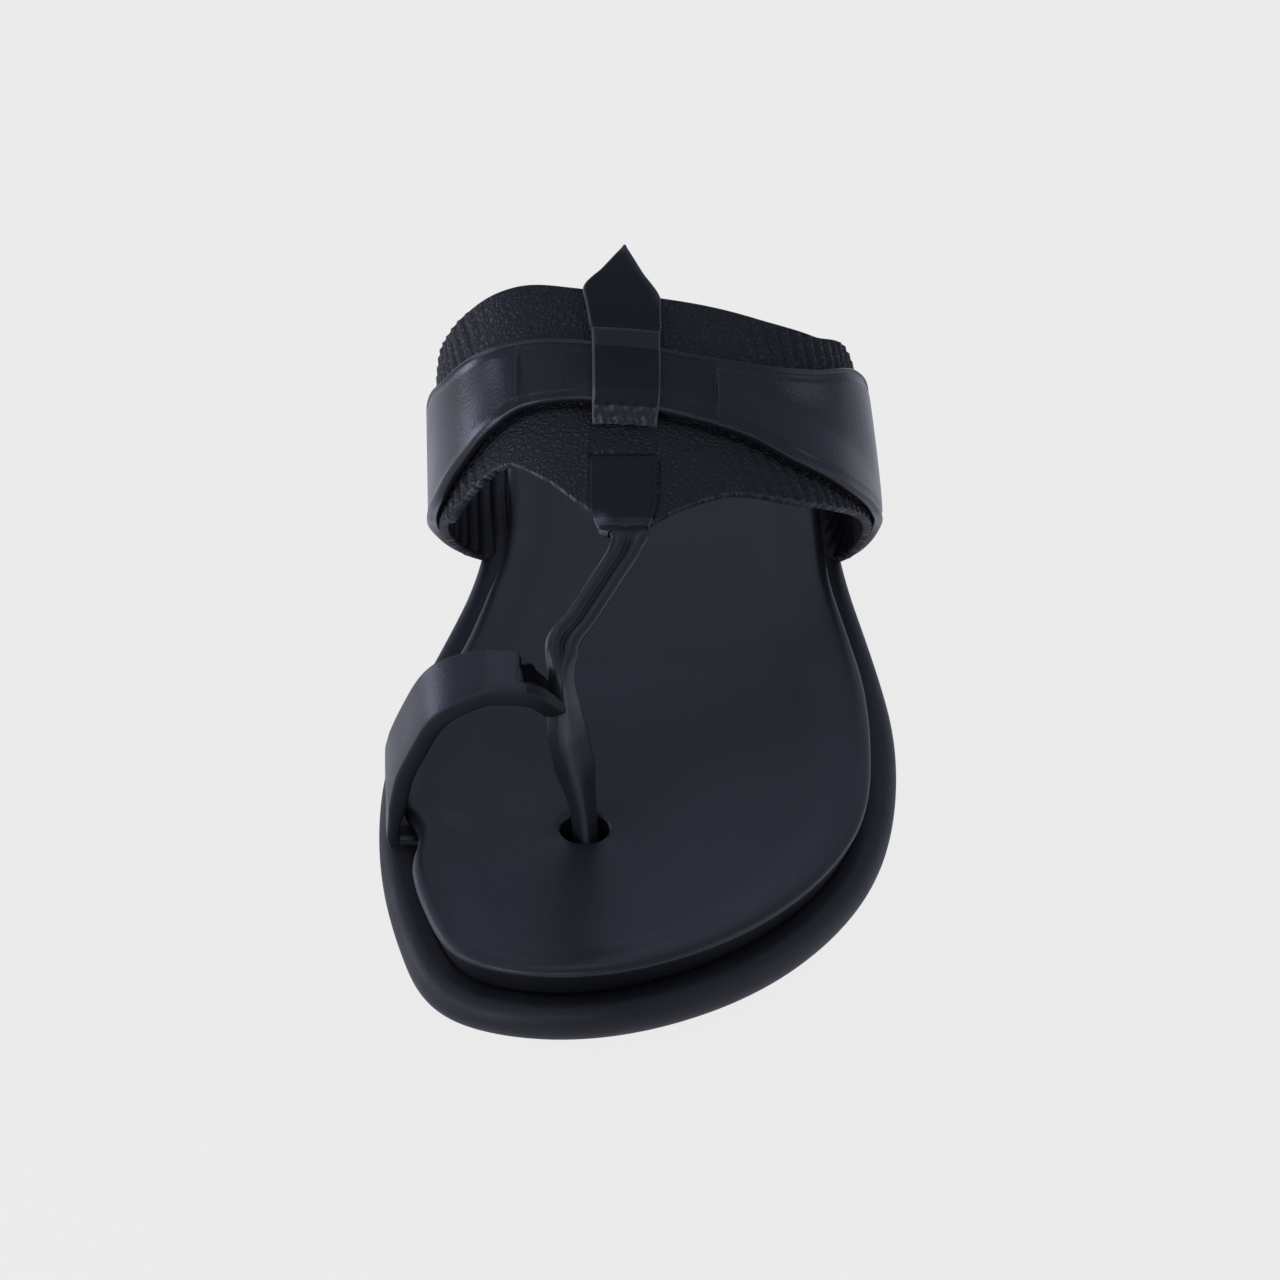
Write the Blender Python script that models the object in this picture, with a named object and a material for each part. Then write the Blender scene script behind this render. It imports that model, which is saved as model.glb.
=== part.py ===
"""Men's leather chappal for the left foot, size 42.

The sandal stands on its sole with the toe towards -Y and the big toe's side towards -X.
Sizes below are millimetres, with y measured from close to the toe tip; MM turns them to metres.
"""

import math

import bmesh
import bpy
import numpy as np

MM = 0.001
GAP = 0.3            # left between pieces that touch

# Sole
ROLL = 8.2           # height of the bull-nose edge round the outsole
ROLL_RADIUS = ROLL / 2
TOE_SPRING = 9.0     # rise of the toe tip off the floor
SPRING_FROM = 82.0   # the tread leaves the floor in front of this y
HEEL_BREAST = 205.0  # front of the heel
HEEL_WALL_TAPER = 1.2
FOOTBED_THICK = 7.2
FOOTBED_EDGE = 4.0   # radius of the footbed's padded edge
CUP_WIDTH = 13.0     # width of the raised rim round the footbed
CUP_DEPTH = 1.4
STATIONS = 38        # rows of points from toe to heel

# Upper
WALL = 2.0           # textured base of the upper
OVERLAY = 2.4        # smooth cross strap
TAB_THICK = 2.0
STRIP = 1.8          # toe loop
LEAN = math.radians(24)   # the instep band leans towards the toe
CENTRE_X = -3.0      # line of the toe strap and of the centre tab
TUCK = 9.0           # lasting margin under the footbed

# Outer edge of the outsole, round the sole from the toe tip by the big toe's side
OUTLINE = [
    (-16.5, -0.8),    # toe tip
    (-37.1, 7.9),
    (-47.3, 32.2),
    (-52.7, 62.1),
    (-54.5, 92.0),    # big toe joint
    (-51.3, 124.0),
    (-41.9, 158.0),
    (-35.3, 186.0),   # waist
    (-33.5, 216.0),
    (-30.5, 244.0),
    (-18.5, 270.0),
    (3.0, 277.2),     # heel end
    (24.5, 270.0),
    (37.5, 244.0),
    (42.5, 216.0),
    (45.0, 186.0),    # waist
    (49.6, 158.0),
    (54.0, 128.0),
    (54.2, 98.0),     # little toe joint
    (48.8, 66.2),
    (36.3, 38.1),
    (13.4, 11.1),
]

# Underside of the roll above the floor, behind the toe spring
SHANK = {"y": (82, 130, 165, 215, 280), "rise": (0, 0, 3.2, 11, 11)}

# Width of the ledge between the outsole's edge and the footbed
LEDGE = {"y": (0, 60, 120, 280), "width": (5.6, 4.4, 4.0, 4.0)}

# Sections of the instep, one row each: where the section stands on the sole, its half widths
# either side, the place and height of its ridge, the height of its widest point, and how
# square its two shoulders are (2 is an ellipse)
INSTEP_COLUMNS = ("sole_y", "medial", "lateral", "ridge_x", "ridge", "widest", "square_m", "square_l")
INSTEP = [
    (125, -38.5, 43.5, -4.0, 40.0, 15.0, 2.0, 2.0),
    (150, -41.0, 48.0, -7.0, 52.5, 16.0, 2.1, 2.0),
    (180, -42.2, 49.2, -12.0, 63.5, 15.0, 2.3, 2.0),
    (205, -43.1, 47.1, -15.7, 71.3, 18.5, 2.75, 2.8),
    (225, -44.5, 44.9, -16.7, 76.8, 18.5, 2.85, 3.3),
]

# Edges of the base and of the cross strap: girth runs from -1 at the medial end through 0 on
# the centre line to 1 at the lateral end, and the other columns are the sole_y of each edge
EDGE_COLUMNS = ("girth", "base_front", "base_rear", "strap_front", "strap_rear")
EDGES = [
    (-1.00, 182.0, 214.0, 185.0, 211.0),   # under the footbed
    (-0.80, 179.5, 213.0, 182.0, 210.5),
    (-0.65, 172.0, 212.0, 174.0, 206.5),
    (-0.50, 162.0, 211.5, 167.5, 199.0),   # medial shoulder
    (-0.40, 162.5, 207.8, 168.0, 194.0),
    (-0.29, 163.0, 205.6, 171.0, 192.0),
    (-0.20, 157.0, 205.5, 173.0, 190.5),
    (-0.10, 148.0, 204.0, 173.0, 189.0),
    (0.00, 141.5, 202.5, 172.5, 188.5),    # tongue
    (0.12, 148.0, 201.5, 171.0, 188.0),
    (0.25, 154.5, 201.0, 169.5, 189.5),
    (0.38, 157.0, 203.0, 167.0, 194.0),
    (0.50, 162.0, 210.0, 168.0, 202.0),    # lateral shoulder
    (0.65, 171.0, 211.5, 173.0, 208.5),
    (0.80, 178.5, 213.0, 181.0, 210.5),
    (1.00, 181.0, 214.0, 184.0, 211.0),
]

# Toe strap: from its slit in the tongue to the cleft between the toes, then down the post
TOE_STRAP_COLUMNS = ("x", "y", "z", "width", "thick")
TOE_STRAP = [
    (-3.0, 137.0, 63.2, 13.5, 2.2),    # slit in the tongue
    (-2.8, 129.0, 60.2, 12.5, 3.0),
    (-2.2, 122.0, 57.0, 9.0, 3.6),     # tip of the tongue
    (-2.2, 115.0, 55.4, 6.4, 4.0),
    (-6.6, 102.0, 54.4, 6.0, 4.0),
    (-11.9, 88.0, 53.0, 6.0, 4.0),
    (-15.8, 77.0, 51.2, 6.6, 4.2),
    (-17.2, 70.0, 47.6, 7.4, 5.0),     # crossing over the toe loop
    (-16.6, 67.0, 42.0, 7.6, 6.4),
    (-14.2, 66.2, 32.0, 7.8, 7.0),     # post
    (-11.4, 66.0, 20.0, 8.0, 7.0),
    (-9.8, 66.0, 12.0, 8.0, 7.0),
]
POST_END_RISE = 0.6      # the post ends this far into its anchor
ANCHOR = (24.0, 16.0, 1.8)   # flat end of the post under the footbed: width, length, thickness

# Toe loop: from the post over the big toe and down its inner side into the groove of the sole
TOE_LOOP_COLUMNS = ("x", "y", "z", "width")
TOE_LOOP = [
    (-15.4, 66.5, 40.0, 8.0),    # beside the post
    (-17.0, 66.0, 46.4, 12.0),
    (-21.0, 65.7, 51.0, 15.5),
    (-28.0, 65.5, 53.0, 16.5),   # top
    (-35.4, 65.5, 51.2, 16.5),
    (-41.6, 67.0, 46.2, 16.5),
    (-46.4, 69.5, 38.0, 16.0),
    (-49.8, 73.0, 28.0, 15.0),
    (-51.2, 76.5, 19.0, 15.0),
]
LOOP_FLARE = math.radians(8)   # its rear edge stands further out than its front edge
LOOP_FOOT_Y = 79.0
LOOP_TUCK = 9.0

# Centre tab: its two edges as millimetres round the band from the centre line, how much further
# forward its lateral edge is, and whether it lies on the cross strap or on the base
TAB_COLUMNS = ("sole_y", "medial", "lateral", "skew", "on_strap")
TAB = [
    (167.6, -7.1, 6.3, 0.0, 0),
    (169.4, -7.1, 6.3, 0.0, 0),
    (171.4, -7.2, 6.3, 0.0, 1),    # fold over the front of the cross strap
    (180.0, -7.3, 6.3, 0.0, 1),
    (189.8, -7.5, 6.4, 0.0, 1),
    (192.6, -7.9, 7.2, 0.0, 0),    # behind the cross strap
    (197.0, -8.6, 7.2, -1.2, 0),
    (200.6, -9.3, 7.2, -2.4, 0),   # shoulders
    (207.5, -5.0, 3.4, -1.2, 0),
    (214.6, -0.7, -0.1, 0.0, 0),   # point
]

# Tread: grooves across the sole
GROOVE_WIDTH = 3.0
GROOVE_DEPTH = 1.2
GROOVE_MARGIN = 9.0
FOREFOOT_GROOVES = (56.0, 72.0, 88.0, 104.0, 120.0)
HEEL_GROOVES = (222.0, 238.0, 254.0)

BLACK_LEATHER = (0.012, 0.013, 0.018, 1)
TEXTURED_LEATHER = (0.008, 0.009, 0.013, 1)
RUBBER = (0.016, 0.017, 0.022, 1)


# ---------------------------------------------------------------- curves

def through(xs, ys):
    """Smooth curve y(x) through the points, which never swings past them."""
    xs = np.array(xs, float)
    ys = np.array(ys, float)
    step = np.diff(xs)
    rise = np.diff(ys) / step
    slope = np.zeros(len(xs))
    slope[0] = rise[0]
    slope[-1] = rise[-1]
    for i in range(1, len(xs) - 1):
        if rise[i - 1] * rise[i] > 0:
            before = 2 * step[i] + step[i - 1]
            after = step[i] + 2 * step[i - 1]
            slope[i] = (before + after) / (before / rise[i - 1] + after / rise[i])

    def value(x):
        x = np.clip(x, xs[0], xs[-1])
        i = np.clip(np.searchsorted(xs, x) - 1, 0, len(xs) - 2)
        t = (x - xs[i]) / step[i]
        ends = ys[i] * (1 + 2 * t) * (1 - t) ** 2 + ys[i + 1] * t * t * (3 - 2 * t)
        return ends + step[i] * (slope[i] * t * (1 - t) ** 2 + slope[i + 1] * t * t * (t - 1))

    return value


def columns(names, rows):
    """The columns of a table, by name."""
    return dict(zip(names, zip(*rows)))


def closed_curve(points, per_span=60):
    """Points along the smooth closed curve through `points`, as a periodic cubic spline."""
    points = np.array(points, float)
    count = len(points)
    chord = np.linalg.norm(np.roll(points, -1, 0) - points, axis=1)
    system = np.zeros((count, count))
    bend = np.zeros((count, 2))
    for i in range(count):
        before = i - 1
        after = (i + 1) % count
        system[i, before] += chord[before]
        system[i, i] += 2 * (chord[before] + chord[i])
        system[i, after] += chord[i]
        bend[i] = (points[after] - points[i]) / chord[i] - (points[i] - points[before]) / chord[before]
    second = np.linalg.solve(system, 6 * bend)
    spans = []
    for i in range(count):
        after = (i + 1) % count
        h = chord[i]
        t = np.linspace(0, h, per_span, endpoint=False)[:, None]
        cubic = (second[i] * (h - t) ** 3 + second[after] * t**3) / (6 * h)
        line = (points[i] / h - second[i] * h / 6) * (h - t) + (points[after] / h - second[after] * h / 6) * t
        spans.append(cubic + line)
    return np.concatenate(spans)


# ---------------------------------------------------------------- meshes

def material(name, colour, roughness):
    made = bpy.data.materials.new(name)
    made.use_nodes = True
    shader = made.node_tree.nodes["Principled BSDF"]
    shader.inputs["Base Color"].default_value = colour
    shader.inputs["Roughness"].default_value = roughness
    shader.inputs["Metallic"].default_value = 0.0
    return made


def make_object(name, points, faces, finish=None, sharp=math.radians(40)):
    """Object from points in millimetres; with no finish it's a cutter, which isn't part of the model."""
    mesh = bpy.data.meshes.new(name)
    placed = (np.array(points) - (*SOLE_CENTRE, 0.0)) * MM
    mesh.from_pydata(placed.tolist(), [], faces)
    shape = bmesh.new()
    shape.from_mesh(mesh)
    bmesh.ops.remove_doubles(shape, verts=shape.verts, dist=1e-6)
    bmesh.ops.recalc_face_normals(shape, faces=shape.faces)
    shape.to_mesh(mesh)
    shape.free()
    made = bpy.data.objects.new(name, mesh)
    bpy.context.scene.collection.objects.link(made)
    if finish:
        mesh.materials.append(finish)
        mesh.shade_smooth()
        mesh.set_sharp_from_angle(angle=sharp)
    else:
        made.hide_render = True
        made.display_type = "WIRE"
    return made


def combine(target, others, operation):
    for other in others:
        step = target.modifiers.new(other.name, "BOOLEAN")
        step.operation = operation
        step.solver = "EXACT"
        step.object = other


def bridge(first, second, count, closed=True):
    """Quads between two rows of `count` points that start at indices `first` and `second`."""
    last = count if closed else count - 1
    return [
        (first + i, first + (i + 1) % count, second + (i + 1) % count, second + i)
        for i in range(last)
    ]


def slab(inner, outer):
    """Closed solid between two grids of points of the same shape."""
    rows, across = inner.shape[:2]
    points = np.concatenate([inner.reshape(-1, 3), outer.reshape(-1, 3)])
    size = rows * across
    faces = []
    for i in range(rows - 1):
        for j in range(across - 1):
            a = i * across + j
            quad = (a, a + 1, a + across + 1, a + across)
            faces.append(quad)
            faces.append(tuple(size + corner for corner in reversed(quad)))
    rim = [j for j in range(across)]
    rim += [i * across + across - 1 for i in range(1, rows)]
    rim += [(rows - 1) * across + j for j in range(across - 2, -1, -1)]
    rim += [i * across for i in range(rows - 2, 0, -1)]
    for here, there in zip(rim, rim[1:] + rim[:1]):
        faces.append((here, size + here, size + there, there))
    return points, faces


def block(low, high):
    """Box between two corners."""
    points = [(x, y, z) for x in (low[0], high[0]) for y in (low[1], high[1]) for z in (low[2], high[2])]
    faces = [(0, 1, 3, 2), (4, 6, 7, 5), (0, 4, 5, 1), (2, 3, 7, 6), (0, 2, 6, 4), (1, 5, 7, 3)]
    return points, faces


# ---------------------------------------------------------------- sole

SOLE_EDGE = closed_curve(OUTLINE)
SOLE_CENTRE = (SOLE_EDGE.min(axis=0) + SOLE_EDGE.max(axis=0)) / 2
shank_rise = through(SHANK["y"], SHANK["rise"])
ledge_width = through(LEDGE["y"], LEDGE["width"])


def underside(y):
    """Height of the roll's lowest line above the floor."""
    spring = TOE_SPRING * ((SPRING_FROM - np.minimum(y, SPRING_FROM)) / SPRING_FROM) ** 2
    return spring + shank_rise(y)


def deck(y):
    """Height of the outsole's top, on which the footbed and the straps' ends lie."""
    return underside(y) + ROLL


def tread(y):
    """Height of the sole's bottom: the heel stands on the floor again."""
    return np.where(np.asarray(y) > HEEL_BREAST + 1.5, 0.0, underside(y))


def station_rows():
    spread = (1 - np.cos(np.linspace(0, math.pi, STATIONS + 1))) / 2
    rows = SOLE_EDGE[:, 1].min() + (SOLE_EDGE[:, 1].max() - SOLE_EDGE[:, 1].min()) * spread
    breast = (HEEL_BREAST, HEEL_BREAST + 3.0)
    rows = [y for y in rows if all(abs(y - b) > 3.0 for b in breast)]
    return np.array(sorted(rows + list(breast)))


def sides(curve):
    """The medial and lateral halves of a closed outline, each from toe to heel."""
    curve = np.roll(curve, -np.argmin(curve[:, 1]), 0)
    heel = np.argmax(curve[:, 1])
    return curve[: heel + 1], np.concatenate([curve[heel:], curve[:1]])[::-1]


def outline_loop(inset):
    """Sole outline moved inwards: toe, down the medial side to the heel, back by the lateral side."""
    medial, lateral = sides(SOLE_EDGE)
    rows = station_rows()
    down = np.stack([np.interp(rows, medial[:, 1], medial[:, 0]), rows], 1)
    back = np.stack([np.interp(rows, lateral[:, 1], lateral[:, 0]), rows], 1)[-2:0:-1]
    loop = np.concatenate([down, back])
    along = np.roll(loop, -1, 0) - np.roll(loop, 1, 0)
    along /= np.linalg.norm(along, axis=1)[:, None]
    inward = np.stack([along[:, 1], -along[:, 0]], 1)
    return loop + inward * np.reshape(inset, (-1, 1))


def layered(levels):
    """Closed solid from (inset, height) levels listed from the bottom to the top, both functions of y.

    The bottom and the top are closed by ribs across the sole from one side to the other."""
    points = []
    faces = []
    y_rows = outline_loop(0.0)[:, 1]
    count = len(y_rows)
    for number, (inset, height) in enumerate(levels):
        loop = outline_loop(inset(y_rows))
        points += [(x, y, z) for (x, y), z in zip(loop, height(loop[:, 1]))]
        if number:
            faces += bridge((number - 1) * count, number * count, count)
    top = (len(levels) - 1) * count
    for start in (0, top):
        faces += closing_ribs(points, start, count)
    return points, faces


def closing_ribs(points, start, count, columns_across=4):
    """Quads that close the loop of `count` points at `start`, with points added across each rib."""
    half = count // 2
    faces = []
    previous = None
    for rib in range(half + 1):
        medial = start + rib
        lateral = start + (count - rib) % count
        row = [medial]
        if medial != lateral:
            ends = np.array(points[medial]), np.array(points[lateral])
            for step in range(1, columns_across):
                share = step / columns_across
                points.append(tuple(ends[0] * (1 - share) + ends[1] * share))
                row.append(len(points) - 1)
            row.append(lateral)
        if previous is not None:
            if len(previous) == 1:
                faces += [(previous[0], row[j], row[j + 1]) for j in range(len(row) - 1)]
            elif len(row) == 1:
                faces += [(previous[j], row[0], previous[j + 1]) for j in range(len(previous) - 1)]
            else:
                faces += [
                    (previous[j], row[j], row[j + 1], previous[j + 1]) for j in range(len(row) - 1)
                ]
        previous = row
    return faces


def build_outsole(finish):
    """One moulded unit: bull-nose edge, shallow arch, low heel and a flat deck for the footbed."""
    def roll_level(angle):
        inset = ROLL_RADIUS * (1 - math.cos(angle))
        rise = ROLL_RADIUS * (1 + math.sin(angle))
        return (lambda y: np.full(len(y), inset), lambda y: underside(y) + rise)

    levels = [(lambda y: np.full(len(y), ROLL_RADIUS + HEEL_WALL_TAPER), tread)]
    levels += [roll_level(math.radians(angle)) for angle in (-90, -60, -30, 0, 30, 60, 90)]
    levels.append((lambda y: ledge_width(y) + 3.0, deck))
    return make_object("outsole", *layered(levels), finish)


def build_footbed(finish):
    """Padded insole board with a rounded edge, slightly cupped."""
    top = FOOTBED_THICK

    def level(inset, rise):
        return (lambda y: ledge_width(y) + inset, lambda y: deck(y) + rise)

    levels = [level(1.0, GAP), level(0.0, 1.3), level(0.0, top - FOOTBED_EDGE)]
    for angle in (22.5, 45, 67.5, 90):
        turn = math.radians(angle)
        levels.append(level(FOOTBED_EDGE * (1 - math.cos(turn)), top - FOOTBED_EDGE * (1 - math.sin(turn))))
    levels.append(level(FOOTBED_EDGE + 4.0, top - 0.5 * CUP_DEPTH))
    levels.append(level(CUP_WIDTH, top - CUP_DEPTH))
    return make_object("footbed", *layered(levels), finish)


def footbed_side(y):
    """x of the footbed's two sides at y."""
    medial, lateral = sides(SOLE_EDGE)
    left = np.interp(y, medial[:, 1], medial[:, 0])
    right = np.interp(y, lateral[:, 1], lateral[:, 0])
    return left + ledge_width(y), right - ledge_width(y)


def groove_cutters():
    cutters = []
    for number, y in enumerate(FOREFOOT_GROOVES + HEEL_GROOVES):
        left, right = footbed_side(y)
        floor = float(tread(y))
        low = (left + GROOVE_MARGIN, y - GROOVE_WIDTH / 2, floor - 3.0)
        high = (right - GROOVE_MARGIN, y + GROOVE_WIDTH / 2, floor + GROOVE_DEPTH)
        cutters.append(make_object(f"groove_{number + 1}", *block(low, high)))
    return cutters


# ---------------------------------------------------------------- instep band

instep_table = columns(INSTEP_COLUMNS, INSTEP)
instep_at = {
    name: through(instep_table["sole_y"], instep_table[name]) for name in INSTEP_COLUMNS[1:]
}
edge_table = columns(EDGE_COLUMNS, EDGES)
edge_at = {name: through(edge_table["girth"], edge_table[name]) for name in EDGE_COLUMNS[1:]}
QUARTER = np.linspace(0, math.pi / 2, 48)


def section(sole_y):
    """The band's inner line in its leaning plane: points (x, height) and the length run to each.

    The line starts and ends a little beyond the ends of the leather, which are its second points."""
    size = {name: float(curve(sole_y)) for name, curve in instep_at.items()}
    halves = []
    for side, wide, square in zip(
        footbed_side(sole_y), (size["medial"], size["lateral"]), (size["square_m"], size["square_l"])
    ):
        inward = 1 if side < 0 else -1
        side -= inward * GAP
        flat = [(side + inward * TUCK * 1.3, 0.0), (side + inward * TUCK, 0.0)]
        out_and_up = np.stack(
            [side + (wide - side) * np.sin(QUARTER), size["widest"] * (1 - np.cos(QUARTER))], 1
        )
        over = np.stack(
            [
                size["ridge_x"] + (wide - size["ridge_x"]) * np.cos(QUARTER) ** (2 / square),
                size["widest"] + (size["ridge"] - size["widest"]) * np.sin(QUARTER) ** (2 / square),
            ],
            1,
        )
        halves.append(np.concatenate([flat, out_and_up, over[1:]]))
    line = np.concatenate([halves[0], halves[1][-2::-1]])
    run = np.concatenate([[0], np.cumsum(np.linalg.norm(np.diff(line, axis=0), axis=1))])
    high = line[:, 1] > size["widest"]
    centre = float(np.interp(CENTRE_X, line[high, 0], run[high]))
    return line, run, centre


def on_inner(girth, sole_y):
    """Point of the band's inner surface."""
    line, run, centre = section(sole_y)
    half = run[-2] - centre if girth > 0 else centre - run[1]
    at = centre + girth * half
    x = np.interp(at, run, line[:, 0])
    height = np.interp(at, run, line[:, 1])
    return np.array(
        [x, sole_y - height * math.sin(LEAN), float(deck(sole_y)) + height * math.cos(LEAN)]
    )


def on_band(girth, sole_y, lift):
    """Point `lift` outside the band's inner surface."""
    here = on_inner(girth, sole_y)
    if lift == 0:
        return here
    nudge = 0.02 if girth < 0.98 else -0.02
    round_it = (on_inner(girth + nudge, sole_y) - here) * (1 if nudge > 0 else -1)
    along = on_inner(girth, sole_y + 0.5) - here
    outward = np.cross(round_it, along)
    return here + outward / np.linalg.norm(outward) * lift


def band_patch(front, rear, girths, across, low, high, grow=0.0):
    """Solid piece of the band between two edges, from lift `low` to lift `high`."""
    inner = np.zeros((len(girths), across + 1, 3))
    outer = np.zeros_like(inner)
    for i, girth in enumerate(girths):
        start = float(edge_at[front](girth)) - grow
        end = float(edge_at[rear](girth)) + grow
        for j in range(across + 1):
            sole_y = start + (end - start) * j / across
            inner[i, j] = on_band(girth, sole_y, low - grow)
            outer[i, j] = on_band(girth, sole_y, high + grow)
    return slab(inner, outer)


HALF_GIRTHS = np.concatenate([
    np.linspace(0.02, 0.26, 7),
    np.linspace(0.285, 0.625, 18),   # shoulder
    np.linspace(0.66, 0.86, 6),
    np.linspace(0.88, 1.0, 5),     # turn under the footbed
])
BASE_GIRTHS = np.concatenate([-HALF_GIRTHS[::-1], HALF_GIRTHS])
STRAP_GIRTHS = BASE_GIRTHS[np.abs(BASE_GIRTHS) < 0.9]
FOOT_FROM = 0.62


def foot_cutters(name, front, rear, low, high, reach):
    """Room in the sole for the two ends of a band piece."""
    made = []
    for side, sign in (("medial", -1), ("lateral", 1)):
        girths = sign * np.append(HALF_GIRTHS[(HALF_GIRTHS > FOOT_FROM) & (HALF_GIRTHS < reach)], reach)
        made.append(
            make_object(f"{name}_{side}_room", *band_patch(front, rear, girths, 4, low, high, GAP))
        )
    return made


# ---------------------------------------------------------------- straps

def spread_rows(names, rows, count):
    """A table's rows turned into `count` rows along a smooth path, evenly spaced."""
    table = columns(names, rows)
    centre = np.array([table["x"], table["y"], table["z"]]).T
    run = np.concatenate([[0], np.cumsum(np.linalg.norm(np.diff(centre, axis=0), axis=1))])
    at = np.linspace(0, run[-1], count)
    return {name: through(run, table[name])(at) for name in names}


def frames(centre, reference):
    """Unit vectors along the path, across the strap (nearest to `reference`) and out of its face."""
    along = np.gradient(centre, axis=0)
    along /= np.linalg.norm(along, axis=1)[:, None]
    across = reference - along * (along @ reference)[:, None]
    across /= np.linalg.norm(across, axis=1)[:, None]
    return along, across, np.cross(along, across)


def tube(rings):
    """Closed solid through rings of points, all with the same number of points."""
    count = len(rings[0])
    points = np.concatenate(rings)
    faces = []
    for i in range(len(rings) - 1):
        faces += bridge(i * count, (i + 1) * count, count)
    faces.append(tuple(range(count)))
    faces.append(tuple(range(len(points) - 1, len(points) - count - 1, -1)))
    return points, faces


def build_toe_strap():
    """Lengthwise folded strap: flat where it leaves the slit, then with its fold along the middle."""
    rows = spread_rows(TOE_STRAP_COLUMNS, TOE_STRAP, 30)
    centre = np.stack([rows["x"], rows["y"], rows["z"]], 1)
    _, across, out = frames(centre, np.array([1.0, 0.0, 0.0]))
    out *= np.where(out[:1, 2] < 0, -1, 1)
    rings = []
    for i in range(len(centre)):
        half = rows["width"][i] / 2
        thick = rows["thick"][i] / 2
        profile = [
            (-half, -thick * 0.5),
            (-half, thick * 0.3),
            (-half * 0.45, thick * 0.85),
            (0.0, thick),
            (half * 0.45, thick * 0.85),
            (half, thick * 0.3),
            (half, -thick * 0.5),
            (0.0, -thick),
        ]
        rings.append([centre[i] + across[i] * a + out[i] * b for a, b in profile])
    return make_object("toe_strap_form", *tube(rings))


def loop_path(longer):
    """Rows of the toe loop with its foot: down to the deck, then inwards under the footbed."""
    side = float(footbed_side(LOOP_FOOT_Y + 7.5)[0]) - GAP - STRIP / 2
    top = float(deck(LOOP_FOOT_Y))
    foot = [
        (side, LOOP_FOOT_Y - 0.5, top + 3.5, 15.0),
        (side + 0.2, LOOP_FOOT_Y, top + 0.6, 15.0),
        (side + 1.4, LOOP_FOOT_Y, top - STRIP / 2, 15.0),
        (side + 3.0, LOOP_FOOT_Y, top - STRIP / 2, 15.0),
        (side + LOOP_TUCK + longer, LOOP_FOOT_Y, top - STRIP / 2, 15.0),
    ]
    return TOE_LOOP + foot


def toe_loop_form(name, first, grow=0.0):
    """Flat strip along the loop's path from row `first` of the spread path."""
    rows = spread_rows(TOE_LOOP_COLUMNS, loop_path(grow), 40)
    centre = np.stack([rows["x"], rows["y"], rows["z"]], 1)
    _, across, out = frames(centre, np.array([0.0, 1.0, 0.0]))
    flare = LOOP_FLARE * np.clip((centre[:, 2:] - 12.0) / 12.0, 0, 1)
    across, out = (
        across * np.cos(flare) - out * np.sin(flare),
        out * np.cos(flare) + across * np.sin(flare),
    )
    steps = np.linspace(-1, 1, 4)
    grids = []
    for lift in (-STRIP / 2 - grow, STRIP / 2 + grow):
        half = rows["width"][:, None, None] / 2 + grow
        grids.append(centre[:, None] + across[:, None] * steps[None, :, None] * half + out[:, None] * lift)
    return make_object(name, *slab(grids[0][first:], grids[1][first:]))


def anchor_box(grow):
    width, length, thick = ANCHOR
    x, y = TOE_STRAP[-1][:2]
    top = float(deck(y - length / 2)) if grow else float(deck(y + length / 2))
    low = (x - width / 2 - grow, y - length / 2 - grow, float(deck(y + length / 2)) - thick - grow)
    high = (x + width / 2 + grow, y + length / 2 + grow, top + grow)
    return block(low, high)


# ---------------------------------------------------------------- pieces

def build_upper(finish):
    """Base of the instep band, toe strap with its post, and toe loop, joined as one leather upper."""
    upper = make_object(
        "upper", *band_patch("base_front", "base_rear", BASE_GIRTHS, 9, 0.0, WALL), finish
    )
    x, y, _ = TOE_STRAP[-1][:3]
    reach = float(deck(y)) - POST_END_RISE
    stub = make_object("post_foot_form", *block((x - 3.5, y - 3.0, reach), (x + 3.5, y + 3.0, 14.0)))
    anchor = make_object("post_anchor_form", *anchor_box(0.0))
    parts = [build_toe_strap(), toe_loop_form("toe_loop_form", 0), stub, anchor]
    combine(upper, parts, "UNION")
    return upper


def build_cross_strap(finish):
    """Smooth overlay across the instep band."""
    low = WALL + GAP
    patch = band_patch("strap_front", "strap_rear", STRAP_GIRTHS, 6, low, low + OVERLAY)
    return make_object("cross_strap", *patch, finish)


def build_centre_tab(finish):
    """Pointed tab along the centre line, over the base and the cross strap."""
    lifts = (WALL + GAP, WALL + GAP + OVERLAY + GAP)
    across = np.linspace(0, 1, 5)
    inner = np.zeros((len(TAB), len(across), 3))
    outer = np.zeros_like(inner)
    for i, (sole_y, medial, lateral, skew, on_strap) in enumerate(TAB):
        _, run, centre = section(sole_y)
        for j, share in enumerate(across):
            offset = medial + (lateral - medial) * share
            girth = offset / (run[-2] - centre if offset > 0 else centre - run[1])
            place = sole_y + skew * (share - 0.5)
            inner[i, j] = on_band(girth, place, lifts[on_strap])
            outer[i, j] = on_band(girth, place, lifts[on_strap] + TAB_THICK)
    return make_object("centre_tab", *slab(inner, outer), finish)


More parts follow.
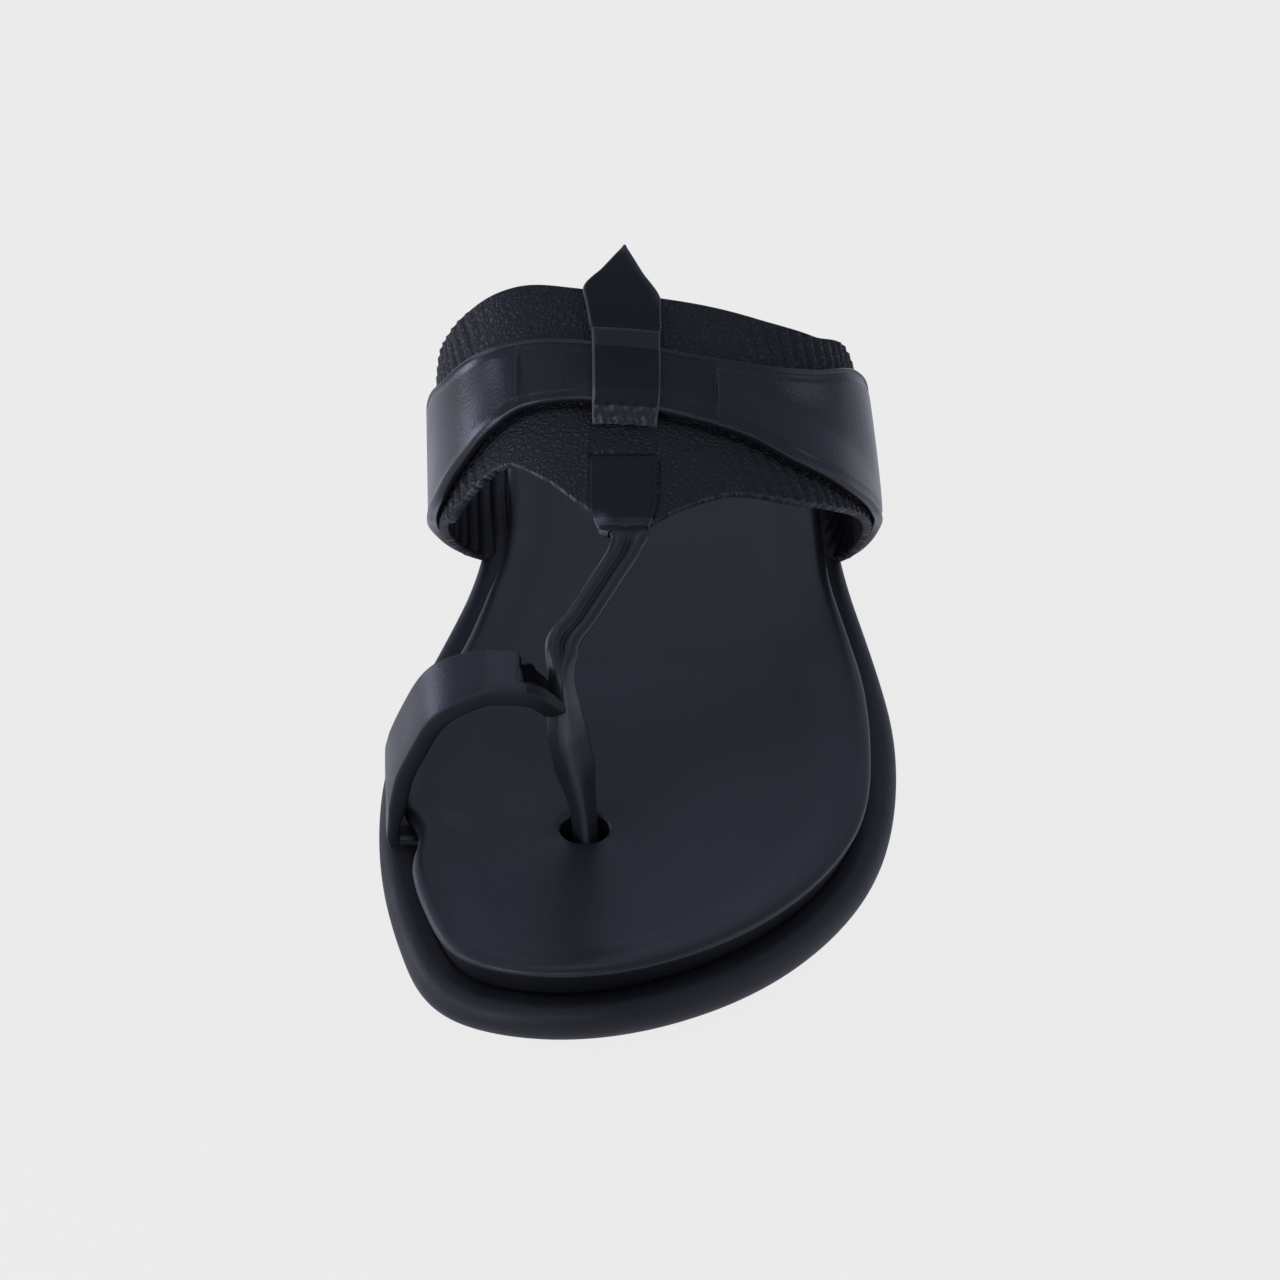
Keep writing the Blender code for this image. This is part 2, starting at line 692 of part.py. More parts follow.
def build():
    smooth = material("smooth_leather", BLACK_LEATHER, 0.45)
    textured = material("textured_leather", TEXTURED_LEATHER, 0.55)
    insole = material("footbed_leather", BLACK_LEATHER, 0.5)
    rubber = material("sole_wrap", RUBBER, 0.5)

    outsole = build_outsole(rubber)
    footbed = build_footbed(insole)
    build_upper(textured)
    build_cross_strap(smooth)
    build_centre_tab(smooth)

    rooms = foot_cutters("base", "base_front", "base_rear", 0.0, WALL, 1.03)
    rooms += foot_cutters("strap", "strap_front", "strap_rear", WALL / 2, WALL + GAP + OVERLAY, 0.91)
    rooms.append(toe_loop_form("toe_loop_room", 26, GAP))
    rooms.append(make_object("post_anchor_room", *anchor_box(GAP)))
    combine(outsole, rooms + groove_cutters(), "DIFFERENCE")

    x, y = TOE_STRAP[-1][:2]
    slot = make_object("post_slot", *block((x - 5.4, y - 4.8, 5.0), (x + 5.0, y + 4.8, 40.0)))
    combine(footbed, [slot], "DIFFERENCE")


for existing in list(bpy.data.objects):
    bpy.data.objects.remove(existing, do_unlink=True)
build()
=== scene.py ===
"""Men's black leather chappal for the left foot, dressed from its rolled sole up to its centre tab."""

import math

import bmesh
import bpy
import numpy as np
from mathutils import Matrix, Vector


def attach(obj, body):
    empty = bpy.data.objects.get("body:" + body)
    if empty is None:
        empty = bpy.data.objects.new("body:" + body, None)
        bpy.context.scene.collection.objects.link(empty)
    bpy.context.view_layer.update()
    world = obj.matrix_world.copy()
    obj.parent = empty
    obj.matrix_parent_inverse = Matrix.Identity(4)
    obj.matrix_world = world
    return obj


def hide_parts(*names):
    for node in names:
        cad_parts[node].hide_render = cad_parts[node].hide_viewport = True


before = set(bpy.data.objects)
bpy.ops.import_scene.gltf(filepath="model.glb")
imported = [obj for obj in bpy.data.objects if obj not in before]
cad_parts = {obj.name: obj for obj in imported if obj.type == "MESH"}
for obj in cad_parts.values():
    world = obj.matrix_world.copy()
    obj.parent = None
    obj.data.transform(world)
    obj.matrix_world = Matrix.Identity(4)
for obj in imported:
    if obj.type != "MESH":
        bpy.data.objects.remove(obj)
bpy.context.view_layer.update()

# ------------------------ rolled edge of the sole
# A soft roll runs round the whole sole: a foam core wrapped in thin smooth black leather and
# lasted under the footbed, so that only its rounded outside and a narrow ledge are seen.

MM = 0.001
ROLL = 8.2            # height of the roll
ROLL_RADIUS = ROLL / 2
ROLL_TURNS = np.radians(np.arange(-90, 91, 7.5))
TOE_SPRING = 9.0      # rise of the toe tip off the floor
SPRING_FROM = 82.0    # the tread leaves the floor in front of this y
LEDGE_UNDER = 5.6     # the ledge goes this far in under the footbed

# Outer edge round the sole, from the toe tip by the big toe's side
OUTLINE = [
    (-16.5, -0.8), (-37.1, 7.9), (-47.3, 32.2), (-52.7, 62.1), (-54.5, 92), (-51.3, 124),
    (-41.9, 158), (-35.3, 186), (-33.5, 216), (-30.5, 244), (-18.5, 270), (3, 277.2),
    (24.5, 270), (37.5, 244), (42.5, 216), (45, 186), (49.6, 158), (54, 128),
    (54.2, 98), (48.8, 66.2), (36.3, 38.1), (13.4, 11.1),
]


def through(xs, ys):
    """Smooth curve y(x) through the points, which never swings past them."""
    xs = np.array(xs, float)
    ys = np.array(ys, float)
    step = np.diff(xs)
    rise = np.diff(ys) / step
    slope = np.zeros(len(xs))
    slope[0] = rise[0]
    slope[-1] = rise[-1]
    for i in range(1, len(xs) - 1):
        if rise[i - 1] * rise[i] > 0:
            before = 2 * step[i] + step[i - 1]
            after = step[i] + 2 * step[i - 1]
            slope[i] = (before + after) / (before / rise[i - 1] + after / rise[i])

    def value(x):
        x = np.clip(x, xs[0], xs[-1])
        i = np.clip(np.searchsorted(xs, x) - 1, 0, len(xs) - 2)
        t = (x - xs[i]) / step[i]
        ends = ys[i] * (1 + 2 * t) * (1 - t) ** 2 + ys[i + 1] * t * t * (3 - 2 * t)
        return ends + step[i] * (slope[i] * t * (1 - t) ** 2 + slope[i + 1] * t * t * (t - 1))

    return value


def ease(x, start, end):
    """0 before start, 1 after end, and smooth between."""
    t = np.clip((np.asarray(x, float) - start) / (end - start), 0, 1)
    return t * t * (3 - 2 * t)


def closed_curve(points, per_span=60):
    """Points along the smooth closed curve through `points`, as a periodic cubic spline."""
    points = np.array(points, float)
    following = np.roll(points, -1, 0)
    chord = np.linalg.norm(following - points, axis=1)
    before = np.roll(chord, 1)
    slope = (following - points) / chord[:, None]
    own = np.eye(len(points))
    system = own * 2 * (before + chord)
    system += np.roll(own, 1, 1) * chord[:, None] + np.roll(own, -1, 1) * before[:, None]
    second = np.linalg.solve(system, 6 * (slope - np.roll(slope, 1, 0)))
    t = np.linspace(0, chord, per_span, endpoint=False).T[..., None]
    points, following, second = points[:, None], following[:, None], second[:, None]
    after = np.roll(second, -1, 0)
    h = chord[:, None, None]
    cubic = (second * (h - t) ** 3 + after * t**3) / (6 * h)
    ends = (points / h - second * h / 6) * (h - t) + (following / h - after * h / 6) * t
    return (cubic + ends).reshape(-1, 2)


SOLE_EDGE = closed_curve(OUTLINE)
SOLE_CENTRE = (SOLE_EDGE.min(axis=0) + SOLE_EDGE.max(axis=0)) / 2
SOLE_EDGE = np.roll(SOLE_EDGE, -np.argmin(SOLE_EDGE[:, 1]), 0)
HEEL_END = np.argmax(SOLE_EDGE[:, 1])
MEDIAL_EDGE = SOLE_EDGE[: HEEL_END + 1]
LATERAL_EDGE = np.concatenate([SOLE_EDGE[HEEL_END:], SOLE_EDGE[:1]])[::-1]
shank_rise = through((82, 130, 165, 215, 280), (0, 0, 3.2, 11, 11))
ledge_width = through((0, 60, 120, 280), (5.6, 4.4, 4.0, 4.0))


def underside(y):
    """Height of the roll's lowest line above the floor."""
    return TOE_SPRING * ((SPRING_FROM - np.minimum(y, SPRING_FROM)) / SPRING_FROM) ** 2 + shank_rise(y)


def deck(y):
    """Height of the ledge on which the footbed and the straps' ends lie."""
    return underside(y) + ROLL


def sole_rows(count, extra=()):
    """y of the rows across the sole, closer together at toe and heel, with `extra` rows among them."""
    spread = (1 - np.cos(np.linspace(0, math.pi, count + 1))) / 2
    rows = MEDIAL_EDGE[0, 1] + (MEDIAL_EDGE[-1, 1] - MEDIAL_EDGE[0, 1]) * spread
    rows = [y for y in rows if all(abs(y - other) > 0.4 for other in extra)]
    return np.array(sorted(rows + list(extra)))


def sole_sides(y):
    """x of the sole's medial and lateral edges at y."""
    return [np.interp(y, side[:, 1], side[:, 0]) for side in (MEDIAL_EDGE, LATERAL_EDGE)]


def level(inset, rise, line=lambda y: np.zeros(len(y)), above=underside):
    """A level round the sole, `inset` from a line inside its edge and `rise` above a height."""
    return (lambda y: line(y) + inset, lambda y: above(y) + rise)


def levels_round_sole(rows, levels):
    """One row of points for each level: from the toe by the medial side to the heel and back."""
    medial, lateral = sole_sides(rows)
    loop = np.concatenate([np.stack([medial, rows], 1), np.stack([lateral, rows], 1)[-2:0:-1]])
    along = np.roll(loop, -1, 0) - np.roll(loop, 1, 0)
    along /= np.linalg.norm(along, axis=1)[:, None]
    inward = np.stack([along[:, 1], -along[:, 0]], 1)
    made = []
    for inset, height in levels:
        moved = loop + inward * inset(loop[:, 1])[:, None]
        made.append(np.column_stack([moved, height(moved[:, 1])]))
    return np.array(made)


def ring_quads(rows, count, joined=False):
    """Quads between closed rows of `count` points; `joined` closes the last row onto the first."""
    i = np.arange(rows if joined else rows - 1)[:, None]
    j = np.arange(count)[None, :]
    here = i * count
    there = ((i + 1) % rows) * count
    after = (j + 1) % count
    return np.stack([here + j, here + after, there + after, there + j], -1).reshape(-1, 4).tolist()


def in_scene(points):
    """Points given in millimetres from the toe, as places in the scene."""
    return (np.asarray(points, float) - (*SOLE_CENTRE, 0.0)) * MM


def add_object(name, data):
    made = bpy.data.objects.new(name, data)
    bpy.context.scene.collection.objects.link(made)
    return made


def leather_piece(name, points, faces, finishes, mixed=False):
    """Piece from points in millimetres, with its faces turned out, also where they are `mixed`."""
    mesh = bpy.data.meshes.new(name)
    mesh.from_pydata(in_scene(points).tolist(), [], faces)
    shape = bmesh.new()
    shape.from_mesh(mesh)
    if shape.calc_volume(signed=True) < 0:
        bmesh.ops.reverse_faces(shape, faces=shape.faces)
    if mixed:
        bmesh.ops.recalc_face_normals(shape, faces=shape.faces)
    shape.to_mesh(mesh)
    shape.free()
    for leather in finishes:
        mesh.materials.append(leather)
    mesh.shade_smooth()
    return add_object(name, mesh)


def adder_to(tree):
    """Function that adds a node to the tree, or fills one in, and returns it.

    Plain values go to the sockets in use, in order. Words with a capital name a socket, and the others a
    setting. A node given as a value stands for its first output in use."""

    def add(kind, *values, **named):
        made = kind
        if isinstance(kind, str):
            made = tree.nodes.new(kind if "Node" in kind else "ShaderNode" + kind)
        for word, value in named.items():
            if word[0].islower():
                setattr(made, word, value)
        filled = list(zip([socket for socket in made.inputs if socket.enabled], values))
        filled += [(made.inputs[word.replace("_", " ")], named[word]) for word in named if word[0].isupper()]
        for socket, value in filled:
            if isinstance(value, bpy.types.Node):
                value = next(output for output in value.outputs if output.enabled)
            if isinstance(value, bpy.types.NodeSocket):
                tree.links.new(value, socket)
            else:
                socket.default_value = value
        return made

    return add


def group_of(kind, name, inputs, outputs):
    """Empty node group, what adds its nodes, and its inputs: each a number to start from, or a type."""
    tree = bpy.data.node_groups.new(name, kind)
    for end, sockets in (("INPUT", inputs), ("OUTPUT", outputs)):
        for word, given in sockets.items():
            plain = not isinstance(given, str)
            socket_type = "NodeSocketFloat" if plain else "NodeSocket" + given
            socket = tree.interface.new_socket(word, in_out=end, socket_type=socket_type)
            if plain:
                socket.default_value = given
    add = adder_to(tree)
    return tree, add, add("NodeGroupInput").outputs


# Fine grain of dressed leather: tiny flat cells with creases between them, and slow changes of tone
HIDE_GRAIN, add, given = group_of(
    "ShaderNodeTree", "hide_grain",
    {"Place": "Vector", "Cells per metre": 1600}, {"Height": 0, "Tone": 0, "Gloss": 0},
)
place, fine = given["Place"], given["Cells per metre"]
cells = add("TexVoronoi", feature="SMOOTH_F1", Vector=place, Scale=fine, Smoothness=0.35)
creases = add("TexNoise", Vector=place, Scale=fine, Detail=2, Roughness=0.6)
patches = add("TexNoise", Vector=place, Scale=45, Detail=3, Roughness=0.55)
grain_height = add("Math", cells, -0.8, creases, operation="MULTIPLY_ADD")
gloss = add("Math", creases, 0.35, patches, operation="MULTIPLY_ADD")
add("NodeGroupOutput", grain_height, patches, gloss)


def empty_finish(name):
    """New material, what adds its nodes, and its shader."""
    made = bpy.data.materials.new(name)
    made.use_nodes = True
    return made, adder_to(made.node_tree), made.node_tree.nodes["Principled BSDF"]


def smooth_leather(name, shade, light, matt, bright, depth, cells, specular, edge_tint=None, on_lay=True):
    """Dyed leather: two tones, a range of roughness, grain `depth` mm deep, and paler rubbed edges and
    painted highlights where the edge mark says.
    """
    made, add, shader = empty_finish(name)
    place = add("TexCoord").outputs["UV" if on_lay else "Object"]
    grain = add("Group", node_tree=HIDE_GRAIN, Place=place, Cells_per_metre=cells)
    tone = add("MapRange", grain.outputs["Tone"], 0.35, 0.65)
    colour = add("Mix", tone, (*shade, 1), (*light, 1), data_type="RGBA")
    if edge_tint:
        rubbed_and_crest_highlight = add("Attribute", attribute_name="edge").outputs["Fac"]
        colour = add("Mix", rubbed_and_crest_highlight, colour, (*edge_tint, 1), data_type="RGBA")
    rough = add("MapRange", grain.outputs["Gloss"], 0.45, 0.9, bright, matt)
    relief = add("Bump", Height=grain.outputs["Height"], Strength=1, Distance=depth * MM)
    add(shader, Base_Color=colour, Roughness=rough, Normal=relief, Specular_IOR_Level=specular)
    return made


roll_leather = smooth_leather(
    "roll_leather", (0.0075, 0.0078, 0.0085), (0.0105, 0.011, 0.012), 0.58, 0.46, 0.035, 1400, 0.38,
    on_lay=False,
)
roll_levels = [level(ROLL_RADIUS * (1 - math.cos(a)), ROLL_RADIUS * (1 + math.sin(a))) for a in ROLL_TURNS]
roll_levels += [
    level(d, h, ledge_width)
    for d, h in ((1.0, ROLL), (LEDGE_UNDER - 0.4, ROLL), (LEDGE_UNDER, ROLL - 0.4), (LEDGE_UNDER, 0.8))
]
roll_points = levels_round_sole(sole_rows(240), roll_levels)
sole_roll = leather_piece(
    "sole_roll", roll_points.reshape(-1, 3), ring_quads(*roll_points.shape[:2], joined=True), [roll_leather]
)
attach(sole_roll, "root")
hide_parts("outsole")

# ------------------------ tread unit
# Moulded black rubber under the roll: flat forefoot with toe spring, thin waist and a low heel. Its
# tread is rows of low cross ribs in two shallow wells, with a plain rim left round them.

HEEL_BREAST = 205.0      # front of the heel
BREAST_LENGTH = 2.6      # over which the tread comes down to the heel
WALL_INSET = 5.3         # the wall's foot stands this far in under the roll
TREAD_TOP = 3.4          # the unit reaches this far up inside the roll
WELL_DEPTH = 1.2
WELL_MARGIN = 9.0        # plain rim between the wells and the footbed's line
WELLS = ((50.0, 127.0), (215.0, 260.5))
WELL_WALL = 0.5
WELL_RIB_PITCH = 3.25
WELL_RIB_WIDTH = 2.2
RIBS_BETWEEN_GROOVES = 4
GROOVE_PITCH = 16.0
GROOVE_PHASE = 56.0      # centre of one of the wide grooves
RIBS_CLEAR = 1.6         # the ribs stay this far from a well's two ends
RIB_ENDS_CLEAR = 0.6     # and this far from its sides


def footbed_side(y):
    """x of the footbed's two sides at y."""
    left, right = sole_sides(y)
    return left + ledge_width(y), right - ledge_width(y)


def tread(y):
    """Height of the sole's bottom: up over the waist, and down again at the heel's front face."""
    return underside(y) * (1 - ease(y, HEEL_BREAST, HEEL_BREAST + BREAST_LENGTH))


def close_across(points, faces, loop, columns_at, height_at):
    """Closes a loop of points by ribs from the medial side to the lateral, with columns at given shares."""
    count = len(loop)
    before = []
    for rib in range(count // 2 + 1):
        row = [loop[rib]]
        lateral = loop[(count - rib) % count]
        if lateral != row[0]:
            a = np.array(points[row[0]])
            b = np.array(points[lateral])
            for share in columns_at(a, b):
                x, y, z = a * (1 - share) + b * share
                points.append((x, y, height_at(x, y, z)))
                row.append(len(points) - 1)
            row.append(lateral)
        for j in range(max(len(before), len(row)) - 1 if before else 0):
            quad = ((before, j), (row, j), (row, j + 1), (before, j + 1))
            faces.append(tuple(dict.fromkeys(line[min(k, len(line) - 1)] for line, k in quad)))
        before = row


def closed_levels(rows, levels, bottom, top):
    """Points and faces of a form from its levels upwards, closed below and above.

    `bottom` and `top` are each the shares of the columns across the sole, and the height there."""
    wall = levels_round_sole(rows, levels)
    count = wall.shape[1]
    points = wall.reshape(-1, 3).tolist()
    faces = ring_quads(len(levels), count)
    close_across(points, faces, range(count), *bottom)
    close_across(points, faces, range((len(levels) - 1) * count, len(levels) * count), *top)
    return points, faces


PLAIN_END = (lambda a, b: (0.25, 0.5, 0.75), lambda x, y, z: z)


def well_columns(a, b):
    """Columns at the two walls of a well, and evenly between them."""
    left, right = footbed_side(a[1])
    width = max(b[0] - a[0], 1e-6)
    low = np.clip((left + WELL_MARGIN - a[0]) / width, 0.02, 0.48)
    high = np.clip((right - WELL_MARGIN - a[0]) / width, 0.52, 0.98)
    wall = min(WELL_WALL / width, 0.01)
    floor = np.linspace(low + wall, high - wall, 14)
    return [low * 0.5, low - wall, *floor, high + wall, (1 + high) / 2]


def tread_height(x, y, z):
    left, right = footbed_side(y)
    within = any(start < y < end for start, end in WELLS)
    inside = left + WELL_MARGIN < x < right - WELL_MARGIN
    return z + WELL_DEPTH if within and inside else z


# Matt, with a fine moulded texture
sole_rubber = smooth_leather(
    "sole_rubber", (0.01, 0.01, 0.012), (0.015, 0.015, 0.018), 0.72, 0.6, 0.03, 2500, 0.3, on_lay=False
)
well_rows = [y + d for well in WELLS for y in well for d in (-WELL_WALL / 2, WELL_WALL / 2)]
breast_rows = [HEEL_BREAST + d for d in (0, 0.6, 1.2, 1.8, BREAST_LENGTH)]
tread_levels = [
    level(WALL_INSET + 0.7, 0, above=tread),
    level(WALL_INSET + 0.2, 0.2, above=tread),
    level(WALL_INSET, 0, above=lambda y: np.minimum(tread(y) + 0.7, underside(y) + 0.25)),
    level(ROLL_RADIUS + 0.3, 0.3),
    level(ROLL_RADIUS + 0.6, TREAD_TOP),
]
tread_form = closed_levels(
    sole_rows(200, well_rows + breast_rows), tread_levels, (well_columns, tread_height), PLAIN_END
)
sole_tread = leather_piece("sole_tread", *tread_form, [sole_rubber], mixed=True)
sole_tread.data.set_sharp_from_angle(angle=math.radians(35))
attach(sole_tread, "root")
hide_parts("outsole")

# One rounded rib is laid across the sole at every point, as long as its well is wide
RIB_TREE, add, given = group_of(
    "GeometryNodeTree", "tread_ribs",
    {"Geometry": "Geometry", "Rib width": 0.002, "Rib height": 0.001, "Rubber": "Material"},
    {"Geometry": "Geometry"},
)
RIB_TREE.is_modifier = True
top_width = add("Math", given["Rib width"], 0.5, operation="MULTIPLY")
section = add(
    "GeometryNodeCurvePrimitiveQuadrilateral", mode="TRAPEZOID",
    Bottom_Width=given["Rib width"], Top_Width=top_width, Height=given["Rib height"], Offset=0,
)
rounded = add("GeometryNodeFilletCurve", mode="POLY", Curve=section, Count=2, Radius=0.0002)
line = add("GeometryNodeCurvePrimitiveLine", Start=(-0.5, 0, 0), End=(0.5, 0, 0))
bar = add("GeometryNodeCurveToMesh", Curve=line, Profile_Curve=rounded, Fill_Caps=True)
points = add("GeometryNodeMeshToPoints", given["Geometry"])
span, tilt = (add("GeometryNodeInputNamedAttribute", mark, data_type="FLOAT") for mark in ("span", "tilt"))
laid = add(
    "GeometryNodeInstanceOnPoints", Points=points, Instance=bar,
    Rotation=add("CombineXYZ", tilt), Scale=add("CombineXYZ", span, 1, 1),
)
real = add("GeometryNodeRealizeInstances", laid)
add("NodeGroupOutput", add("GeometryNodeSetMaterial", Geometry=real, Material=given["Rubber"]))


def as_mesh(piece):
    """New mesh of the piece as its modifiers shape it."""
    return bpy.data.meshes.new_from_object(piece.evaluated_get(bpy.context.evaluated_depsgraph_get()))


def add_mark(mesh, mark, values):
    mesh.attributes.new(mark, "FLOAT", "POINT").data.foreach_set("value", np.ravel(values))


grooves = GROOVE_PHASE + GROOVE_PITCH * np.arange(-4, 14)[:, None]
first_ribs = grooves + (GROOVE_PITCH - (RIBS_BETWEEN_GROOVES - 1) * WELL_RIB_PITCH) / 2
rib_rows = np.ravel(first_ribs + WELL_RIB_PITCH * np.arange(RIBS_BETWEEN_GROOVES))
rib_rows = np.array([
    y for y in rib_rows if any(start + RIBS_CLEAR < y < end - RIBS_CLEAR for start, end in WELLS)
])
rib_left, rib_right = footbed_side(rib_rows)
rib_left = rib_left + WELL_MARGIN + RIB_ENDS_CLEAR
rib_right = rib_right - WELL_MARGIN - RIB_ENDS_CLEAR
rib_centres = np.column_stack([(rib_left + rib_right) / 2, rib_rows, tread(rib_rows) + WELL_DEPTH / 2])
rib_mesh = bpy.data.meshes.new("rib_places")
rib_mesh.from_pydata(in_scene(rib_centres).tolist(), [], [])
add_mark(rib_mesh, "span", (rib_right - rib_left) * MM)
add_mark(rib_mesh, "tilt", np.arctan(tread(rib_rows + 0.5) - tread(rib_rows - 0.5)))
rib_places = add_object("rib_places", rib_mesh)
rib_step = rib_places.modifiers.new("tread_ribs", "NODES")
rib_step.node_group = RIB_TREE
rib_inputs = {"Rib width": WELL_RIB_WIDTH * MM, "Rib height": WELL_DEPTH * MM, "Rubber": sole_rubber}
for item in RIB_TREE.interface.items_tree:
    if item.in_out == "INPUT" and item.name in rib_inputs:
        rib_step[item.identifier] = rib_inputs[item.name]
tread_ribs = add_object("tread_ribs", as_mesh(rib_places))
bpy.data.objects.remove(rib_places, do_unlink=True)
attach(tread_ribs, "root")
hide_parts("outsole")

# ------------------------ footbed
# A padded insole board covered in plain smooth leather. The cover is pulled round its edge, which
# stands up a little as a soft rim, and it is glued down inside the roll with a slit for the toe post.

GAP = 0.3             # the pieces lie this far apart
FOOTBED_THICK = 7.2
# The padded edge from the top down: tilt reached in degrees, and radius of the turn up to it
EDGE_TURNS = ((42, 3.4), (113, 1.0))
EDGE_FOOT = 1.3       # height at which the edge has leant back in as far as it goes
# y, and how far the footbed stands in from its ledge there, on the inner and on the outer side
NARROWED = [
    (0, 0, 0), (38, 0, 0), (50, 0.5, 0), (56.5, 1.7, 0), (61, 2.9, 0),
    (66, 3.5, 0), (70.5, 2.6, 0.1), (76, 0.8, 0.3), (82, 0.8, 0.6), (100, 2.2, 1.6),
    (118, 3.8, 2.1), (132, 4.6, 2.2), (144, 4.6, 2.4), (157, 4, 2.5), (164, 3.6, 2.4),
    (171, 3.4, 1.8), (178, 2.8, 1.1), (185, 2.1, 0.5), (192, 1.2, 0.1), (200, 0.3, 0),
    (208, 0, 0), (280, 0, 0),
]
CUP_WIDTH = 13.0
CUP_DEPTH = 1.4
POST_FOOT = (-10.8, 68.0)
DIMPLE_DEPTH = 1.3         # the cover is drawn down round the post
DIMPLE_REACH = 7.0
SLIT_CENTRE = (-11.3, 70.6)
SLIT_SIZE = (4.9, 5.7)     # half width and half length of the opening for the post
SLIT_ROUND = 1.3           # the cover is turned down into the opening
SLIT_POINTS = 48
CAST_FROM = 100.0          # the cover's height round the opening is found from up here
HOLLOW_ROWS = np.arange(56.5, 76.0, 0.75)     # closer rows beside the toe loop's foot


def table_curves(rows):
    """Smooth curves of a table's other columns against its first."""
    first, *others = zip(*rows)
    return [through(first, column) for column in others]


inner_narrowed, outer_narrowed = table_curves(NARROWED)
footbed_rows = sole_rows(220, HOLLOW_ROWS)


def footbed_line(y):
    """How far the footbed stands in from the sole's edge, at each y of its loop: the inner side is first."""
    on_inner = np.arange(len(y)) < len(footbed_rows)
    return ledge_width(y) + np.where(on_inner, inner_narrowed(y), outer_narrowed(y))


# The edge's section, from where it leaves the top to where it leans back in
edge_tilts = [0.0]
edge_radii = []
for reached, radius in EDGE_TURNS:
    steps = max(8, round((reached - edge_tilts[-1]) / 5))
    edge_tilts += list(np.linspace(edge_tilts[-1], reached, steps + 1)[1:])
    edge_radii += [radius] * steps
edge_tilts = np.radians(edge_tilts)
edge_run = np.diff(edge_tilts) * edge_radii
halfway = (edge_tilts[1:] + edge_tilts[:-1]) / 2
edge_out = np.concatenate([[0], np.cumsum(edge_run * np.cos(halfway))])
edge_rise = FOOTBED_THICK - np.concatenate([[0], np.cumsum(edge_run * np.sin(halfway))])
edge_inset = edge_out.max() - edge_out
foot_inset = edge_inset[-1] + (edge_rise[-1] - EDGE_FOOT) * math.tan(edge_tilts[-1] - math.pi / 2)


def dimple(x, y, z):
    away = math.hypot(x - POST_FOOT[0], y - POST_FOOT[1]) / DIMPLE_REACH
    return z - DIMPLE_DEPTH * math.exp(-away * away)


def capped_rings(rings):
    """Points and faces of a form from its closed rings, with its two ends filled."""
    rows, count = rings.shape[:2]
    faces = ring_quads(rows, count)
    faces.append(tuple(range(count)))
    faces.append(tuple(range(rows * count - 1, (rows - 1) * count - 1, -1)))
    return rings.reshape(-1, 3), faces


footbed_section = [(foot_inset + d, rise) for d, rise in ((1.2, GAP), (0.3, GAP + 0.25), (0, EDGE_FOOT))]
footbed_section += zip(edge_inset[::-1], edge_rise[::-1])
footbed_section += [
    (d, FOOTBED_THICK - CUP_DEPTH * ease(d, edge_inset[0], CUP_WIDTH))
    for d in np.linspace(edge_inset[0] + 1, CUP_WIDTH, 9)
]
footbed_form = closed_levels(
    footbed_rows, [level(*corner, footbed_line, deck) for corner in footbed_section], PLAIN_END,
    (lambda a, b: np.linspace(0, 1, 61)[1:-1], dimple),
)
footbed_leather = smooth_leather(
    "footbed_leather", (0.0085, 0.009, 0.0098), (0.011, 0.0117, 0.0128), 0.44, 0.34, 0.02, 1700, 0.5,
    on_lay=False,
)
padded_footbed = leather_piece("padded_footbed", *footbed_form, [footbed_leather], mixed=True)


def slit_ring(wider, height):
    """Ring round the opening for the post, that much wider all round."""
    turns = np.linspace(0, 2 * math.pi, SLIT_POINTS, endpoint=False)
    return np.column_stack([
        SLIT_CENTRE[0] + (SLIT_SIZE[0] + wider) * np.cos(turns),
        SLIT_CENTRE[1] + (SLIT_SIZE[1] + wider) * np.sin(turns),
        np.broadcast_to(height, SLIT_POINTS),
    ])


# The cutter follows the cover: its trumpet-shaped top leaves a rounded brim
bpy.context.view_layer.update()
slit_brim = np.array([
    padded_footbed.ray_cast(Vector(place), Vector((0.0, 0.0, -1.0)))[1].z / MM
    for place in in_scene(slit_ring(SLIT_ROUND, CAST_FROM))
])
slit_rings = [slit_ring(0, 0)]
for turn in np.radians(np.arange(0, 76, 12.5)):
    drop = SLIT_ROUND * (1 - math.sin(turn))
    slit_rings.append(slit_ring(SLIT_ROUND * (1 - math.cos(turn)), slit_brim - drop))
slit_rings += [slit_ring(SLIT_ROUND + 0.2, slit_brim + above) for above in (0.3, 9.0)]
slit_cutter = leather_piece("slit_cutter", *capped_rings(np.array(slit_rings)), [footbed_leather])
slit = padded_footbed.modifiers.new("post_slit", "BOOLEAN")
slit.operation = "DIFFERENCE"
slit.solver = "EXACT"
slit.object = slit_cutter
cut_mesh = as_mesh(padded_footbed)
padded_footbed.modifiers.clear()
padded_footbed.data = cut_mesh
bpy.data.objects.remove(slit_cutter, do_unlink=True)
cut_mesh.set_sharp_from_angle(angle=math.radians(50))
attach(padded_footbed, "root")
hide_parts("footbed")

# ------------------------ embossed base of the instep band
# One broad piece of leather over the instep, plated with a scaled pattern that turns to long ribs down
# both sides. It runs forward to a tongue, and its two ends are lasted under the footbed.

WALL = 2.0
LEAN = math.radians(24)    # the band leans towards the toe
CENTRE_X = -3.0
TUCK = 9.0
# Along the sole: x of the inner and outer walls and of the ridge, the ridge's height, the height where
# the band is widest, and how square its inner and outer shoulders are
INSTEP = [
    (125, -38.5, 43.5, -4, 40, 15, 2, 2),
    (150, -41, 48, -7, 52.5, 16, 2.1, 2),
    (180, -42.2, 49.2, -12, 63.5, 15, 2.3, 2),
    (205, -43.1, 47.1, -15.7, 71.3, 18.5, 2.75, 2.8),
    (225, -44.5, 44.9, -16.7, 76.8, 18.5, 2.85, 3.3),
]
